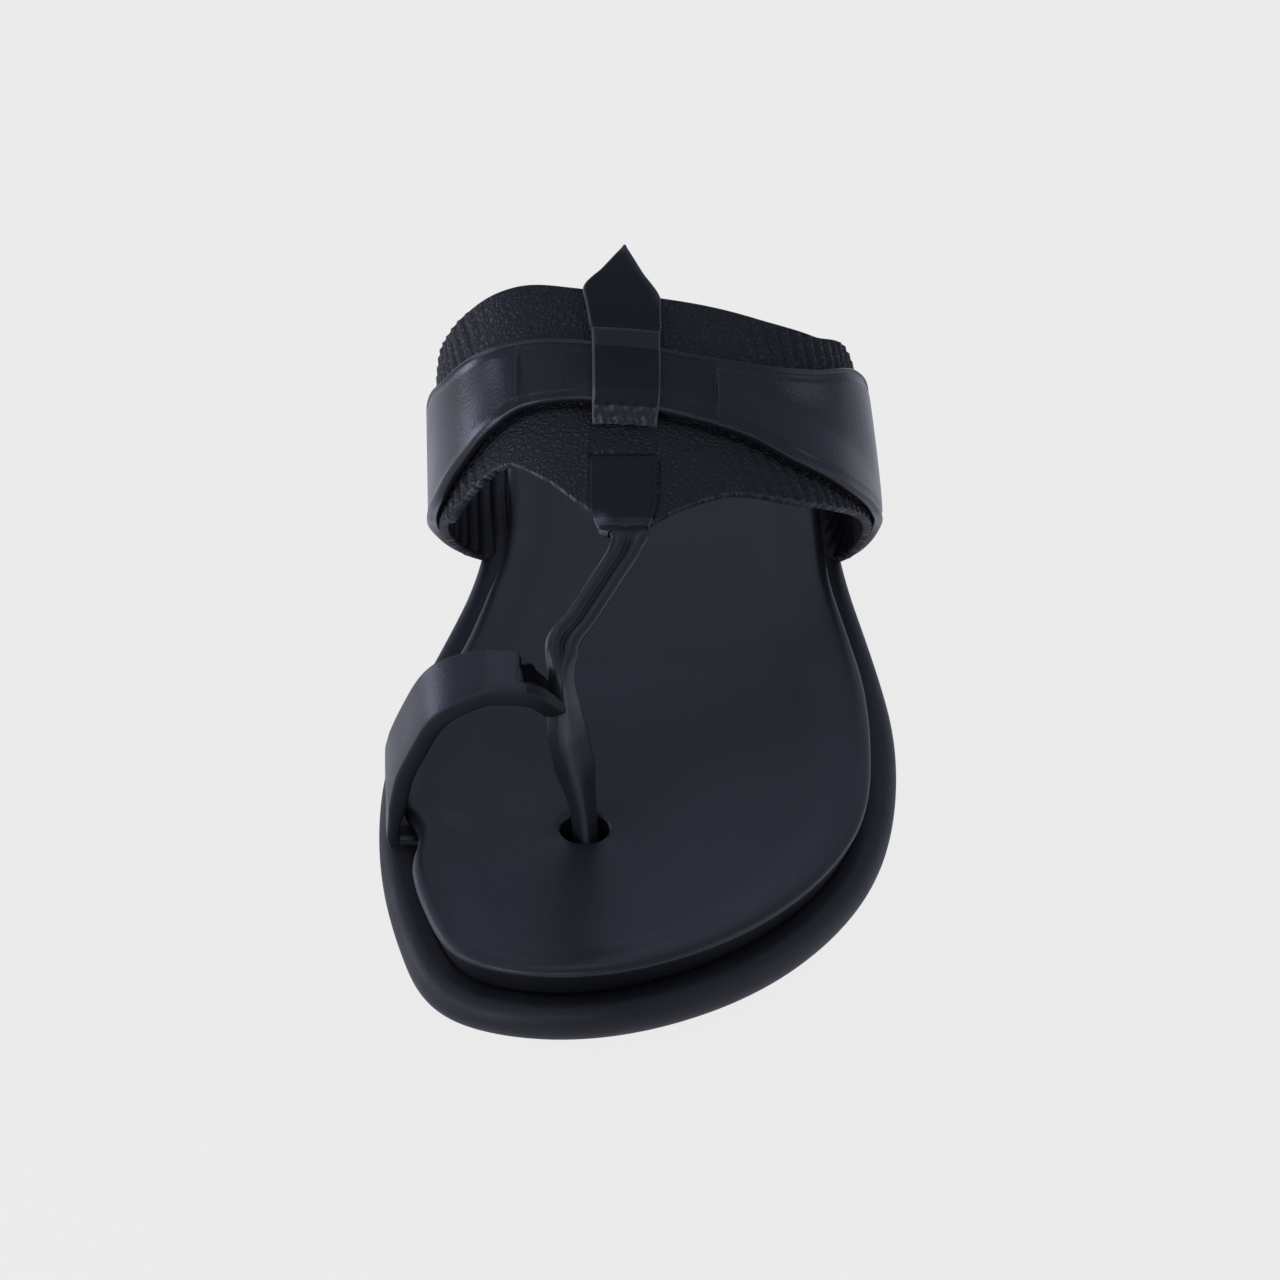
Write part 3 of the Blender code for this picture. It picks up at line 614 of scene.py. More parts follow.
# Share of the half girth, and the base's and the cross strap's front and rear edges along the sole
EDGES = [
    (-1, 182, 214, 185, 211),
    (-0.8, 179.5, 213, 182, 210.5),
    (-0.65, 172, 212, 174, 206.5),
    (-0.5, 162, 211.5, 168.3, 199),
    (-0.4, 162.5, 207.8, 169, 194),
    (-0.29, 163, 205.6, 172, 192),
    (-0.2, 157, 205.5, 174, 190.5),
    (-0.1, 148, 204, 173.6, 189),
    (0, 141.5, 202.5, 172.5, 188.5),
    (0.12, 148, 201.5, 171, 188),
    (0.25, 154.5, 201, 169.5, 189.5),
    (0.38, 157, 203, 167, 194),
    (0.5, 162, 210, 168, 202),
    (0.65, 171, 211.5, 173, 208.5),
    (0.8, 178.5, 213, 181, 210.5),
    (1, 181, 214, 184, 211),
]
instep_curves = table_curves(INSTEP)
base_front_at, base_rear_at, strap_front_at, strap_rear_at = table_curves(EDGES)
QUARTER = np.linspace(0, math.pi / 2, 240)


def instep_section(sole_y):
    """The band's inner line in its leaning plane, the length run to each point, and its centre."""
    medial, lateral, ridge_x, ridge, widest, *squares = (float(curve(sole_y)) for curve in instep_curves)
    halves = []
    for side, wide, square in zip(footbed_side(sole_y), (medial, lateral), squares):
        inward = 1 if side < 0 else -1
        side -= inward * GAP
        flat = [(side + inward * TUCK * 1.3, 0.0), (side + inward * TUCK, 0.0)]
        out_and_up = [side + (wide - side) * np.sin(QUARTER), widest * (1 - np.cos(QUARTER))]
        over = [
            ridge_x + (wide - ridge_x) * np.cos(QUARTER[1:]) ** (2 / square),
            widest + (ridge - widest) * np.sin(QUARTER[1:]) ** (2 / square),
        ]
        halves.append(np.concatenate([flat, np.transpose(out_and_up), np.transpose(over)]))
    line = np.concatenate([halves[0], halves[1][-2::-1]])
    run = np.concatenate([[0], np.cumsum(np.linalg.norm(np.diff(line, axis=0), axis=1))])
    high = line[:, 1] > widest
    return line, run, float(np.interp(CENTRE_X, line[high, 0], run[high]))


# The inner surface of the band as a grid of its places, outward directions and millimetres of girth
GRID_GIRTHS = np.linspace(-1, 1, 901)
GRID_ROWS = np.arange(132.0, 224.01, 0.5)
band_grid = np.zeros((len(GRID_GIRTHS), len(GRID_ROWS), 7))
for column, row_y in enumerate(GRID_ROWS):
    line, run, centre = instep_section(row_y)
    reach = np.where(GRID_GIRTHS > 0, run[-2] - centre, centre - run[1]) * GRID_GIRTHS
    height = np.interp(centre + reach, run, line[:, 1])
    band_grid[:, column, 0] = np.interp(centre + reach, run, line[:, 0])
    band_grid[:, column, 1] = row_y - height * math.sin(LEAN)
    band_grid[:, column, 2] = float(deck(row_y)) + height * math.cos(LEAN)
    band_grid[:, column, 6] = reach
outward = np.cross(*(np.gradient(band_grid[..., :3], axis=axis) for axis in (0, 1)))
band_grid[..., 3:6] = outward / np.linalg.norm(outward, axis=2)[..., None]


def over_band(girth, sole_y):
    """Place, outward direction and millimetres of girth on the band's inner surface."""
    girth, sole_y = np.broadcast_arrays(girth, sole_y)
    a = (np.clip(girth, -1, 1) + 1) / 2 * (len(GRID_GIRTHS) - 1)
    b = (np.clip(sole_y, GRID_ROWS[0], GRID_ROWS[-1]) - GRID_ROWS[0]) / (GRID_ROWS[1] - GRID_ROWS[0])
    i = np.clip(a.astype(int), 0, len(GRID_GIRTHS) - 2)
    j = np.clip(b.astype(int), 0, len(GRID_ROWS) - 2)
    p = (a - i)[..., None]
    q = (b - j)[..., None]
    near = band_grid[i, j] * (1 - q) + band_grid[i, j + 1] * q
    far = band_grid[i + 1, j] * (1 - q) + band_grid[i + 1, j + 1] * q
    found = near * (1 - p) + far * p
    return found[..., :3], found[..., 3:6], found[..., 6]


def on_band(girth, sole_y, lift):
    """Points `lift` outside the band's inner surface."""
    place, out, _ = over_band(girth, sole_y)
    return place + out / np.linalg.norm(out, axis=-1)[..., None] * np.asarray(lift)[..., None]


def strip_section(front, rear, low, high, radius, outer, inner_count, turns=3):
    """Closed rounded section of a strip between two edges: the place and lift of each ring's points.

    `outer` are the shares across the strip at which its outer face has points. The third result is 1
    for a point of the outer face, -1 for the inner face and 0 for an edge."""
    radius = np.minimum(radius, (rear - front) * 0.45)
    turn = np.linspace(0, math.pi / 2, turns + 2)[1:-1]
    out, up = radius * np.sin(turn), radius * np.cos(turn)
    across = rear - front - 2 * radius
    front, rear = front + radius, rear - radius
    parts = [
        (front + across * outer, high, 1),
        (rear + out, high - radius + up, 0),
        (rear + up, low + radius - out, 0),
        (front + across * np.linspace(0, 1, inner_count)[::-1], low, -1),
        (front - out, low + radius - up, 0),
        (front - up, high - radius + out, 0),
    ]
    lift = [np.broadcast_to(height, place.shape) for place, height, _ in parts]
    face = [np.full(place.shape[1], kind) for place, _, kind in parts]
    return np.concatenate([part[0] for part in parts], 1), np.concatenate(lift, 1), np.concatenate(face)


def strip_piece(name, rings, finishes, across, along, edge, finish):
    """Strip of leather from its rings, mapped by the millimetres across and along it.

    `edge` is how pale each point is painted, for rubbed edges or a painted highlight, and `finish` which
    finish the faces get that start there."""
    made = leather_piece(name, *capped_rings(rings), finishes)
    mesh = made.data
    across, along, edge, finish = (
        np.broadcast_to(values, rings.shape[:2]).ravel() for values in (across, along, edge, finish)
    )
    corners = np.empty(len(mesh.loops), np.int32)
    mesh.loops.foreach_get("vertex_index", corners)
    starts = np.empty(len(mesh.polygons), np.int32)
    mesh.polygons.foreach_get("loop_start", starts)
    lay = np.stack([across, along], 1)[corners] * MM
    mesh.uv_layers.new(name="lay").data.foreach_set("uv", lay.ravel())
    mesh.polygons.foreach_set("material_index", finish[corners[starts]].astype(np.int32))
    add_mark(mesh, "edge", edge)
    return made


def between(x, start, full, fading, end):
    """0 up to start, 1 from full to fading, and 0 again from end."""
    return ease(x, start, full) * (1 - ease(x, fading, end))


def bell(x, width):
    """1 at x = 0, and falling away to either side."""
    return np.exp(-((x / width) ** 2))


# Lines and slit of the panel on the tongue, in millimetres from the centre line and along the sole
PANEL_LINES = ((-7.9, 0.22, 0.35), (6.6, -0.25, 0.4))     # place, height and width
PANEL_FROM_TO = (147.0, 168.5)
SLIT_AT = 161.0
SLIT_FROM_TO = (-7.6, 6.0)
SLIT_GROOVE = 0.55
STRAP_BED = 0.6        # the base is pressed down along the cross strap's front edge
STRAP_BED_DEPTH = 0.7
STRAP_BED_WIDTH = 1.1
RIB_PITCH = 3.5
RIB_LEAN = 0.35        # millimetres of girth for each millimetre along the sole
RIB_RELIEF = 0.85
RIB_RELIEF_INSIDE = 0.55
RIBS_FROM = {-1: (27.0, 40.0), 1: (17.0, 38.0)}   # where the ribs fade in, on the inner and outer side
BASE_EDGE = 0.55       # its edges are rounded by this radius
RUBBED_ALONG = (5.5, 9.0, 34.0, 44.0)    # on the inner side the front edge is rubbed over this girth
PALE_FIBRES = (0.16, 0.16, 0.17)
SCALE_DEPTH = 0.20

base_girths = np.linspace(-1, 1, 571)[:, None]
base_front = base_front_at(base_girths)
base_place, base_lift, base_face = strip_section(
    base_front, base_rear_at(base_girths), 0.0, WALL, BASE_EDGE, np.linspace(0, 1, 92), 26
)
base_mm = over_band(base_girths, base_place)[2]
medial_ribs, lateral_ribs = (ease(side * base_mm, *RIBS_FROM[side]) for side in (-1, 1))
rib_strength = np.where(base_mm < 0, medial_ribs, lateral_ribs)
rib_phase = base_mm + RIB_LEAN * (base_place - SLIT_AT)
ribs = rib_strength * (np.abs(np.cos(rib_phase * math.pi / RIB_PITCH)) ** 0.8 - 0.6)
panel = sum(height * bell(base_mm - place, width) for place, height, width in PANEL_LINES)
panel *= between(
    base_place, PANEL_FROM_TO[0], PANEL_FROM_TO[0] + 3, PANEL_FROM_TO[1] - 1, PANEL_FROM_TO[1]
)
in_slit = between(base_mm, *(end + d for end in SLIT_FROM_TO for d in (-0.5, 0.5)))
slit_line = bell(base_place - SLIT_AT, SLIT_GROOVE) * in_slit
strap_bed = STRAP_BED_DEPTH * bell(base_place - (strap_front_at(base_girths) + STRAP_BED), STRAP_BED_WIDTH)
base_lift += np.where(base_face == 1, ribs * RIB_RELIEF + panel - slit_line - strap_bed, 0)
base_lift += np.where(base_face == -1, ribs * RIB_RELIEF_INSIDE, 0)

# Its front edge on the inner side is rubbed to the pale fibres
base_rubbed = between(-base_mm, *RUBBED_ALONG) * (base_place < base_front + 1.0)

# Plated pattern: rounded scales, with creases between them
SCALE_PATTERN, add, given = group_of(
    "ShaderNodeTree", "scale_pattern",
    {"Place": "Vector", "Scales per metre": 860}, {"Height": 0, "Crease": 0},
)
place, fine = given["Place"], given["Scales per metre"]
waver = add("TexNoise", Vector=place, Scale=260, Detail=1)
pushed = add("VectorMath", waver.outputs["Color"], (0.0011, 0.0011, 0), place, operation="MULTIPLY_ADD")
scales = add("TexVoronoi", feature="DISTANCE_TO_EDGE", Vector=pushed, Scale=fine, Randomness=0.85)
rounded = add("MapRange", scales, 0, 0.32, interpolation_type="SMOOTHSTEP")
crumbs = add("TexNoise", Vector=place, Scale=2600, Detail=2, Roughness=0.7)
add("NodeGroupOutput", add("Math", crumbs, 0.35, rounded, operation="MULTIPLY_ADD"), rounded)

# Black plated leather: darker creases, glossier scale tops, and pale fibres along its cut edges
base_leather, add, base_shader = empty_finish("scaled_leather")
lay = add("UVMap", uv_map="lay")
pattern = add("Group", node_tree=SCALE_PATTERN, Place=lay)
plated = pattern.outputs["Crease"]
colour = add("Mix", plated, (0.005, 0.0052, 0.0057, 1), (0.01, 0.0105, 0.0115, 1), data_type="RGBA")
frayed = add("MapRange", add("TexNoise", Vector=lay, Scale=900, Detail=3, Roughness=0.7), 0.42, 0.66)
edge = add("Attribute", attribute_name="edge").outputs["Fac"]
pale = add("Math", edge, frayed, operation="MULTIPLY")
add(
    base_shader, Specular_IOR_Level=0.4,
    Base_Color=add("Mix", pale, colour, (*PALE_FIBRES, 1), data_type="RGBA"),
    Roughness=add("MapRange", plated, To_Min=0.7, To_Max=0.38),
    Normal=add("Bump", Height=pattern.outputs["Height"], Strength=1, Distance=SCALE_DEPTH * MM),
)
lining_leather = smooth_leather(
    "lining_leather", (0.004, 0.0041, 0.0045), (0.007, 0.0072, 0.008), 0.6, 0.45, 0.05, 1200, 0.35
)
instep_base = strip_piece(
    "instep_base", on_band(base_girths, base_place, base_lift), [base_leather, lining_leather], base_mm,
    base_place, np.where(base_face == 0, 0.25 + 0.75 * base_rubbed, 0), base_face == -1,
)
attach(instep_base, "root")
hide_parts("upper")

# ------------------------ toe strap and post
# A strip of smooth leather comes up through the slit in the tongue, narrows, and is folded lengthwise.
# Past the toe loop it is creased down its front into the post, which goes through the footbed.

# x, y, z, width, thickness, how far it is folded, and how far it is the post
TOE_STRAP = [
    (-2.2, 117.5, 56, 8.6, 3, 0.75, 0),    # free of the tongue
    (-2.9, 113, 55.2, 6.6, 4, 1, 0),
    (-6.6, 102, 54.4, 6.2, 4, 1, 0),
    (-11.9, 88, 53, 6.2, 4, 1, 0),
    (-15.9, 78, 51.4, 6.6, 4.8, 0.95, 0.05),
    (-15.9, 72.5, 49, 5.2, 4.8, 0.5, 0.5),     # crossing over the toe loop
    (-15.4, 69, 43, 6.6, 5.6, 0, 1),
    (-14.6, 68.2, 35, 8.2, 6.6, 0, 1),     # post
    (-13.3, 68.2, 28, 8.3, 6.6, 0, 1),
    (-12.2, 68.3, 22, 6.4, 6, 0, 1),
    (-11.5, 68.4, 17, 5.4, 5.6, 0, 1),
    (-11.1, 68.6, 9, 5.2, 5.6, 0, 1),
]
# On the tongue it lies in the panel: how far along the sole, width, thickness, fold and lift
PATCH = [
    (161.2, 14, 0.6, 0, -0.8),     # down in the slit
    (160.2, 14, 0.6, 0, 0.1),
    (156, 14, 0.6, 0, 0.15),
    (149, 14, 0.7, 0, 0.15),
    (145, 12.6, 1.2, 0.15, 0.3),
    (142, 10.4, 2.2, 0.45, 0.5),     # tip of the tongue
]
PATCH_CENTRE = -0.65
PATCH_SHARE = 0.145     # of the strap's run
FACE_POINTS = 33
CREASE_AT = 0.12        # the post's crease stands a little towards the small toes
FRAYED_AT = (-8.3, 122.5)     # the strap's corner beside the tongue's tip is frayed pale
FRAYED_ABOVE = 50.0


def strap_path(rows, count, reference):
    """Centre line of a strap from its table, in `count` even steps, its run and the table's other columns.

    The last two are unit directions: across the strap, nearest to `reference`, and out of its face."""
    rows = np.array(rows)
    run = np.concatenate([[0], np.cumsum(np.linalg.norm(np.diff(rows[:, :3], axis=0), axis=1))])
    at = np.linspace(0, run[-1], count)[:, None]
    columns = [through(run, column)(at) for column in rows.T]
    centre = np.concatenate(columns[:3], 1)
    along = np.gradient(centre, axis=0)
    along /= np.linalg.norm(along, axis=1)[:, None]
    across = reference - along * (along @ reference)[:, None]
    across /= np.linalg.norm(across, axis=1)[:, None]
    return centre, at, columns[3:], across, np.cross(along, across)


def rings_along(centre, across, out, place, lift):
    """Rings of a strap from its centre line, its two directions, and the place and lift of each point."""
    return centre[:, None] + across[:, None] * place[..., None] + out[:, None] * lift[..., None]


patch_rows = []
for sole_y, width, thick, folded, lift in PATCH:
    middle_point = on_band(PATCH_CENTRE / over_band(1.0, sole_y)[2], sole_y, WALL + lift)
    patch_rows.append((*middle_point, width, thick, folded, 0.0))
strap_centre, strap_run, (width, thick, fold, post), strap_across, strap_out = strap_path(
    patch_rows + TOE_STRAP, 300, np.array([1, 0, 0])
)
share = np.linspace(-1, 1, FACE_POINTS)[None]
plain = 1 - fold - post

# Its section is a blend of three: flat with soft corners, folded into two lips with a gutter between
# them, and creased to a crest that falls away to both sides
flat = 0.55 * np.abs(share) ** 10
folded_top = 0.42 + 0.58 * np.abs(np.sin(share * math.pi * 0.93)) ** 0.8 - 0.3 * ease(share, -0.1, 0.1)
beside = np.abs(share - CREASE_AT) / np.where(share < CREASE_AT, 1 + CREASE_AT, 1 - CREASE_AT)
crest_width = 0.16 + 0.20 * ease(strap_centre[:, 2:], 24.0, 44.0)
creased_top = 1.25 - 2.0 * beside - 0.45 * bell(beside, crest_width) * post
top = plain * (1 - flat) + fold * folded_top + post * creased_top
bottom = plain * (flat - 1) + fold * (0.9 * np.abs(share) ** 3 - 1) + post * (creased_top - 0.7)
strap_place = width / 2 * np.concatenate([share, share[:, ::-1]], 1)
strap_lift = thick / 2 * np.concatenate([top, bottom[:, ::-1]], 1)
strap_rings = rings_along(strap_centre, strap_across, strap_out, strap_place, strap_lift)

# Its edges are rubbed a little paler, and the post's crease is painted much paler along its crest as a
# painted highlight
rubbed_and_crest_highlight = np.where(np.abs(share) > 0.97, 0.25, 0.0) * (1 - post) + post * (0.22 + 0.78 * bell(beside, 0.22))
face_x, face_y, face_z = np.moveaxis(strap_rings[:, :FACE_POINTS], 2, 0)
frayed = bell(face_x - FRAYED_AT[0], 1.5) * bell(face_y - FRAYED_AT[1], 1.3) * (face_z > FRAYED_ABOVE)
rubbed_and_crest_highlight = np.minimum(rubbed_and_crest_highlight + 1.2 * frayed, 1.0)
strap_leather = smooth_leather(
    "strap_leather", (0.008, 0.0083, 0.009), (0.012, 0.0125, 0.0135), 0.42, 0.28, 0.035, 1500, 0.5,
    (0.070, 0.072, 0.078),
)
# Duller, darker leather for the strap's part on the tongue and the loop's cut edges; on the loop's end under
# the toe strap it is painted shade
worn_and_shade_leather = smooth_leather(
    "worn_and_shade_strap_leather", (0.005, 0.0052, 0.0057), (0.009, 0.0094, 0.0103), 0.66, 0.5, 0.09, 1100, 0.26,
    (0.05, 0.05, 0.052),
)
toe_strap = strip_piece(
    "toe_strap", strap_rings, [strap_leather, worn_and_shade_leather], strap_place, strap_run,
    np.concatenate([rubbed_and_crest_highlight, np.zeros_like(rubbed_and_crest_highlight)], 1), strap_run < strap_run[-1] * PATCH_SHARE,
)
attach(toe_strap, "root")
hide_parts("upper")

# ------------------------ toe loop
# A flat strip of the same leather over the big toe. One end is caught under the toe strap at the post,
# and the other goes down the inner side into the joint between the footbed and the roll.

STRIP = 1.8
LOOP_EDGE = 0.6       # its edges are rounded by this radius
LOOP_FLARE = math.radians(8)
FLARED_OVER = (12.0, 24.0)     # height over which it starts to flare
FREE_OVER = (14.0, 24.0)       # and over which it comes free of the footbed
LOOP_FOOT_Y = 79.0
LOOP_FOOT_WIDTH = 15.0
LOOP_TUCK = 9.0
LOOP_PADDING = 0.45   # it is thicker by this share where it is free
LOOP_CROWN = 0.12
FRONT_FALL = 0.35     # the loop is rolled down along its front
FRONT_DEEP = 0.7      # and is thicker there
CAUGHT_AT = -23.0     # towards the post its rear part is pulled down under the strap
CAUGHT_DEPTH = 4.3
SHADE_PAINTED_BEFORE = 1.2      # from this far before that, its rear outer face is painted near black, as painted shade under the strap
# x, y, z and width
TOE_LOOP = [
    (-14.6, 74.6, 41, 6),
    (-15.8, 73.2, 44.6, 8),
    (-17.4, 69.8, 47.6, 11.6),
    (-19, 67, 50.4, 12.6),
    (-21.6, 65.4, 52.6, 13.2),
    (-24.5, 65.1, 53.2, 13.2),
    (-29.5, 65.2, 53.5, 13.9),
    (-36, 65.6, 51.6, 15.2),
    (-41.6, 67, 47.2, 16.2),
    (-46.4, 69.5, 38, 16),
    (-49.8, 73, 28, 15),
    (-51.2, 76.5, 19, 15),
]


def hemmed_shares(hem, middle):
    """Shares across a strip with more points in the outer fifths, next to its edges."""
    return np.concatenate([
        np.linspace(0, 0.2, hem)[:-1], np.linspace(0.2, 0.8, middle), np.linspace(0.8, 1, hem)[1:]
    ])


loop_side = float(footbed_side(LOOP_FOOT_Y + LOOP_FOOT_WIDTH / 2)[0]) - GAP - STRIP / 2
loop_top = float(deck(LOOP_FOOT_Y))
# How far in, and how high above the ledge, the loop's foot goes down and under the footbed
loop_foot = [
    (loop_side + d, LOOP_FOOT_Y - forward, loop_top + rise, LOOP_FOOT_WIDTH)
    for d, forward, rise in (
        (0, 0.5, 3.5), (0.2, 0, 0.6), (1.4, 0, -STRIP / 2), (3.0, 0, -STRIP / 2), (LOOP_TUCK, 0, -STRIP / 2)
    )
]
loop_centre, loop_run, (loop_width,), loop_across, loop_out = strap_path(
    TOE_LOOP + loop_foot, 240, np.array([0, -1, 0])
)
loop_height = loop_centre[:, 2:]
flared = (loop_height - FLARED_OVER[0]) / (FLARED_OVER[1] - FLARED_OVER[0])
flare = LOOP_FLARE * np.clip(flared, 0, 1)
loop_across, loop_out = (
    loop_across * np.cos(flare) - loop_out * np.sin(flare),
    loop_out * np.cos(flare) + loop_across * np.sin(flare),
)
loop_half = loop_width / 2
loop_place, loop_lift, loop_face = strip_section(
    -loop_half, loop_half, -STRIP / 2, STRIP / 2, LOOP_EDGE, hemmed_shares(9, 15), 13, turns=4
)
loop_share = loop_place / loop_half
loop_lift *= 1 + LOOP_PADDING * ease(loop_height, *FREE_OVER)
loop_lift += np.where(loop_face == 1, LOOP_CROWN * np.cos(loop_share * math.pi / 2), 0)
loop_lift -= np.where(loop_face >= 0, FRONT_FALL * np.clip((loop_share - 0.35) / 0.65, 0, 1) ** 2, 0)
loop_lift *= np.where(loop_lift < 0, 1 + FRONT_DEEP * np.clip((loop_share - 0.5) / 0.4, 0, 1), 1)
near_post = loop_centre[:, :1] - CAUGHT_AT
loop_lift -= CAUGHT_DEPTH * ease(near_post, -1.8, 1.2) * ease(-loop_share, -0.55, -0.3)
# Its cut edges get the matt worn leather, and its caught end the same darker leather as painted shade; just
# before that its rear outer face is painted near black, as painted shade under the toe strap
loop_finish = np.where((loop_face == 0) | (near_post > 0), 1, 0)
loop_finish = np.where((near_post > -SHADE_PAINTED_BEFORE) & (loop_face == 1) & (loop_share < -0.25), 2, loop_finish)
painted_shade_leather = smooth_leather(
    "painted_shade_strap_leather", (0.0018, 0.0019, 0.0021), (0.003, 0.0031, 0.0034), 0.85, 0.75, 0.09, 1100, 0.08
)
toe_loop = strip_piece(
    "toe_loop", rings_along(loop_centre, loop_across, loop_out, loop_place, loop_lift),
    [strap_leather, worn_and_shade_leather, painted_shade_leather], loop_place, loop_run,
    np.where(loop_face == 0, 0.2, 0), loop_finish,
)
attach(toe_loop, "root")
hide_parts("upper")

# ------------------------ cross strap
# A smooth satin leather overlay lies across the embossed base. Its edges are turned under, and its
# middle is a separate length, joined to the two side lengths by butt seams either side of the tab.

OVERLAY = 2.4
STRAP_REACH = 0.89
STRAP_EDGE = 1.1
HEM_WIDTH = 2.6
HEM_DEPTH = 0.20
SEAMS = (-21.4, 18.6)      # millimetres of girth from the centre line
SEAM_WIDTH = 0.4
SEAM_DEPTH = 0.08
HALF_GIRTH = 105.0     # roughly, for the columns close to the seams
CHANNEL = 0.9          # the middle length is pressed in between its edges
SHOULDER = 0.7         # and the edges are rolled down
SHOULDER_OVER = (-0.5, 3.4)     # this far in from them
UPTURN = 1.5           # but the front edge of the inner side length turns up
UPTURN_WIDTH = 9.0
SIDE_LENGTH_ENDS = (-27.0, -22.0)     # girth over which that goes over into the middle length
FRONT_ROLL = 1.3       # most of all in front, on the inner side of the tab
FRONT_ROLL_WIDTH = 6.5
FRONT_ROLL_ALONG = (-22.0, -19.0, -12.0, -7.5)

strap_low = WALL + GAP
near_seams = [seam / HALF_GIRTH + d for seam in SEAMS for d in np.linspace(-0.012, 0.012, 13)]
cross_girths = np.unique([*np.linspace(-STRAP_REACH, STRAP_REACH, 361), *near_seams])[:, None]
cross_front = strap_front_at(cross_girths)
cross_rear = strap_rear_at(cross_girths)
cross_place, cross_lift, cross_face = strip_section(
    cross_front, cross_rear, strap_low, strap_low + OVERLAY, STRAP_EDGE, hemmed_shares(13, 21), 15, turns=5
)
cross_mm = over_band(cross_girths, cross_place)[2]
front_gap = cross_place - cross_front
edge_gap = np.minimum(front_gap, cross_rear - cross_place)
middle = between(cross_mm, *(seam + d for seam in SEAMS for d in (-0.35, 0.35)))
seam_dip = SEAM_DEPTH * sum(bell(cross_mm - seam, SEAM_WIDTH) for seam in SEAMS)
strap_share = np.clip(front_gap / (cross_rear - cross_front), 0, 1)
pressed = CHANNEL * np.sin(strap_share * math.pi) ** 1.5 * middle
side_length = 1 - ease(cross_mm, *SIDE_LENGTH_ENDS)
turned_up = UPTURN * side_length * (front_gap < UPTURN_WIDTH)
shoulder = SHOULDER * (1 - turned_up) * (1 - ease(edge_gap, *SHOULDER_OVER))
in_front = np.clip(1 - front_gap / FRONT_ROLL_WIDTH, 0, 1)
rolled = FRONT_ROLL * between(cross_mm, *FRONT_ROLL_ALONG) * in_front**1.6
hem = HEM_DEPTH * (1 - side_length) * bell(edge_gap - HEM_WIDTH, 0.5)
cross_lift -= np.where(cross_face == 1, pressed + seam_dip + shoulder + rolled + hem, 0)
satin_leather = smooth_leather(
    "satin_leather", (0.008, 0.0083, 0.009), (0.012, 0.0125, 0.0135), 0.31, 0.21, 0.03, 1300, 0.5,
    (0.016, 0.016, 0.018),
)
middle_leather = smooth_leather(
    "middle_leather", (0.006, 0.0062, 0.0068), (0.01, 0.0104, 0.0114), 0.56, 0.36, 0.05, 1100, 0.38,
    (0.016, 0.016, 0.018),
)
cross_strap = strip_piece(
    "satin_cross_strap", on_band(cross_girths, cross_place, cross_lift),
    [satin_leather, middle_leather], cross_mm, cross_place, np.where(cross_face == 0, 0.5, 0),
    (cross_mm > SEAMS[0]) & (cross_mm < SEAMS[1]) & (cross_face == 1),
)
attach(cross_strap, "root")
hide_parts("cross_strap")

# ------------------------ centre tab
# A pointed tab of the smooth leather is wrapped over the middle of the cross strap. Its front end is
# folded down and gathered against the tongue, and its point stands up behind the band.

TAB_THICK = 2.0
TAB_EDGE = 0.6
TAB_CROWN = 0.9       # it bulges by about this much over the front of the strap
CROWN_FROM = (171.5, 177.0)
CROWN_END = 191.0
CROWN_LENGTH = 15.0
PRESSED_TO = (167.4, 173.4)       # in front it is pressed thin
GATHERED_TO = (171.0, 173.0)      # and gathered
TAB_STEP = 192.0      # behind the strap the tab is rougher, and painted darker as painted shade
DULL_FROM_TO = (171.4, 185.2)     # and on top of the strap
SIDE_RUBBED_FROM = (197.0, 201.0)
POINT_RUBBED_FROM = (211.0, 213.5)
# Its rows along the sole: from, to and how many
TAB_ROWS = [(168.2, 172.6, 41), (172.6, 188.6, 33), (188.6, 214.6, 75)]
# Along the sole: the inner and outer sides, how far it is skewed, and how far it lies on the strap
TAB = [
    (168.2, -6.9, 6.3, 0, 0),
    (169, -7.1, 6.3, 0, 0.08),
    (172.3, -7.2, 6.3, 0, 0.66),
    (175, -7.2, 6.3, 0, 1),
    (180, -7.3, 6.3, 0, 1),
    (189.8, -7.5, 6.4, 0, 1),
    (192.6, -7.9, 7.2, 0, 0),
    (197, -8.6, 7.2, -1.2, 0),
    (200.6, -9.3, 7.2, -2.4, 0),
    (207.5, -5, 3.4, -1.2, 0),
    (214.6, -0.7, -0.1, 0, 0),
]
tab_along = np.unique(np.concatenate([np.linspace(*rows) for rows in TAB_ROWS]))[:, None]
medial, lateral, skew, on_strap = (curve(tab_along) for curve in table_curves(TAB))
tab_place, tab_lift, tab_face = strip_section(
    medial, lateral, 0.0, TAB_THICK, TAB_EDGE, np.linspace(0, 1, 41), 17, turns=4
)
tab_y = tab_along + skew * ((tab_place - medial) / (lateral - medial) - 0.5)
tab_lift *= 0.2 + 0.8 * ease(tab_y, *PRESSED_TO)
tab_lift += strap_low + (OVERLAY + GAP) * on_strap
crown = np.clip((CROWN_END - tab_y) / CROWN_LENGTH, 0, 1.1) ** 1.6 * ease(tab_y, *CROWN_FROM)
gathers = (
    np.sin(tab_place * 2.1 + 1.4 * np.sin(tab_y * 1.7)) * 0.15
    + np.sin(tab_place * 4.3 + 1.3 + tab_y * 1.8) * 0.10
    + np.sin(tab_y * 3.1 + 1.1 * np.sin(tab_place * 1.3)) * 0.12
)
gathers *= 1 - ease(tab_y, *GATHERED_TO)
tab_lift += np.where(tab_face == 1, TAB_CROWN * crown + gathers, 0)
reach_mm = np.abs(over_band(np.where(tab_place > 0, 1, -1), tab_y)[2])

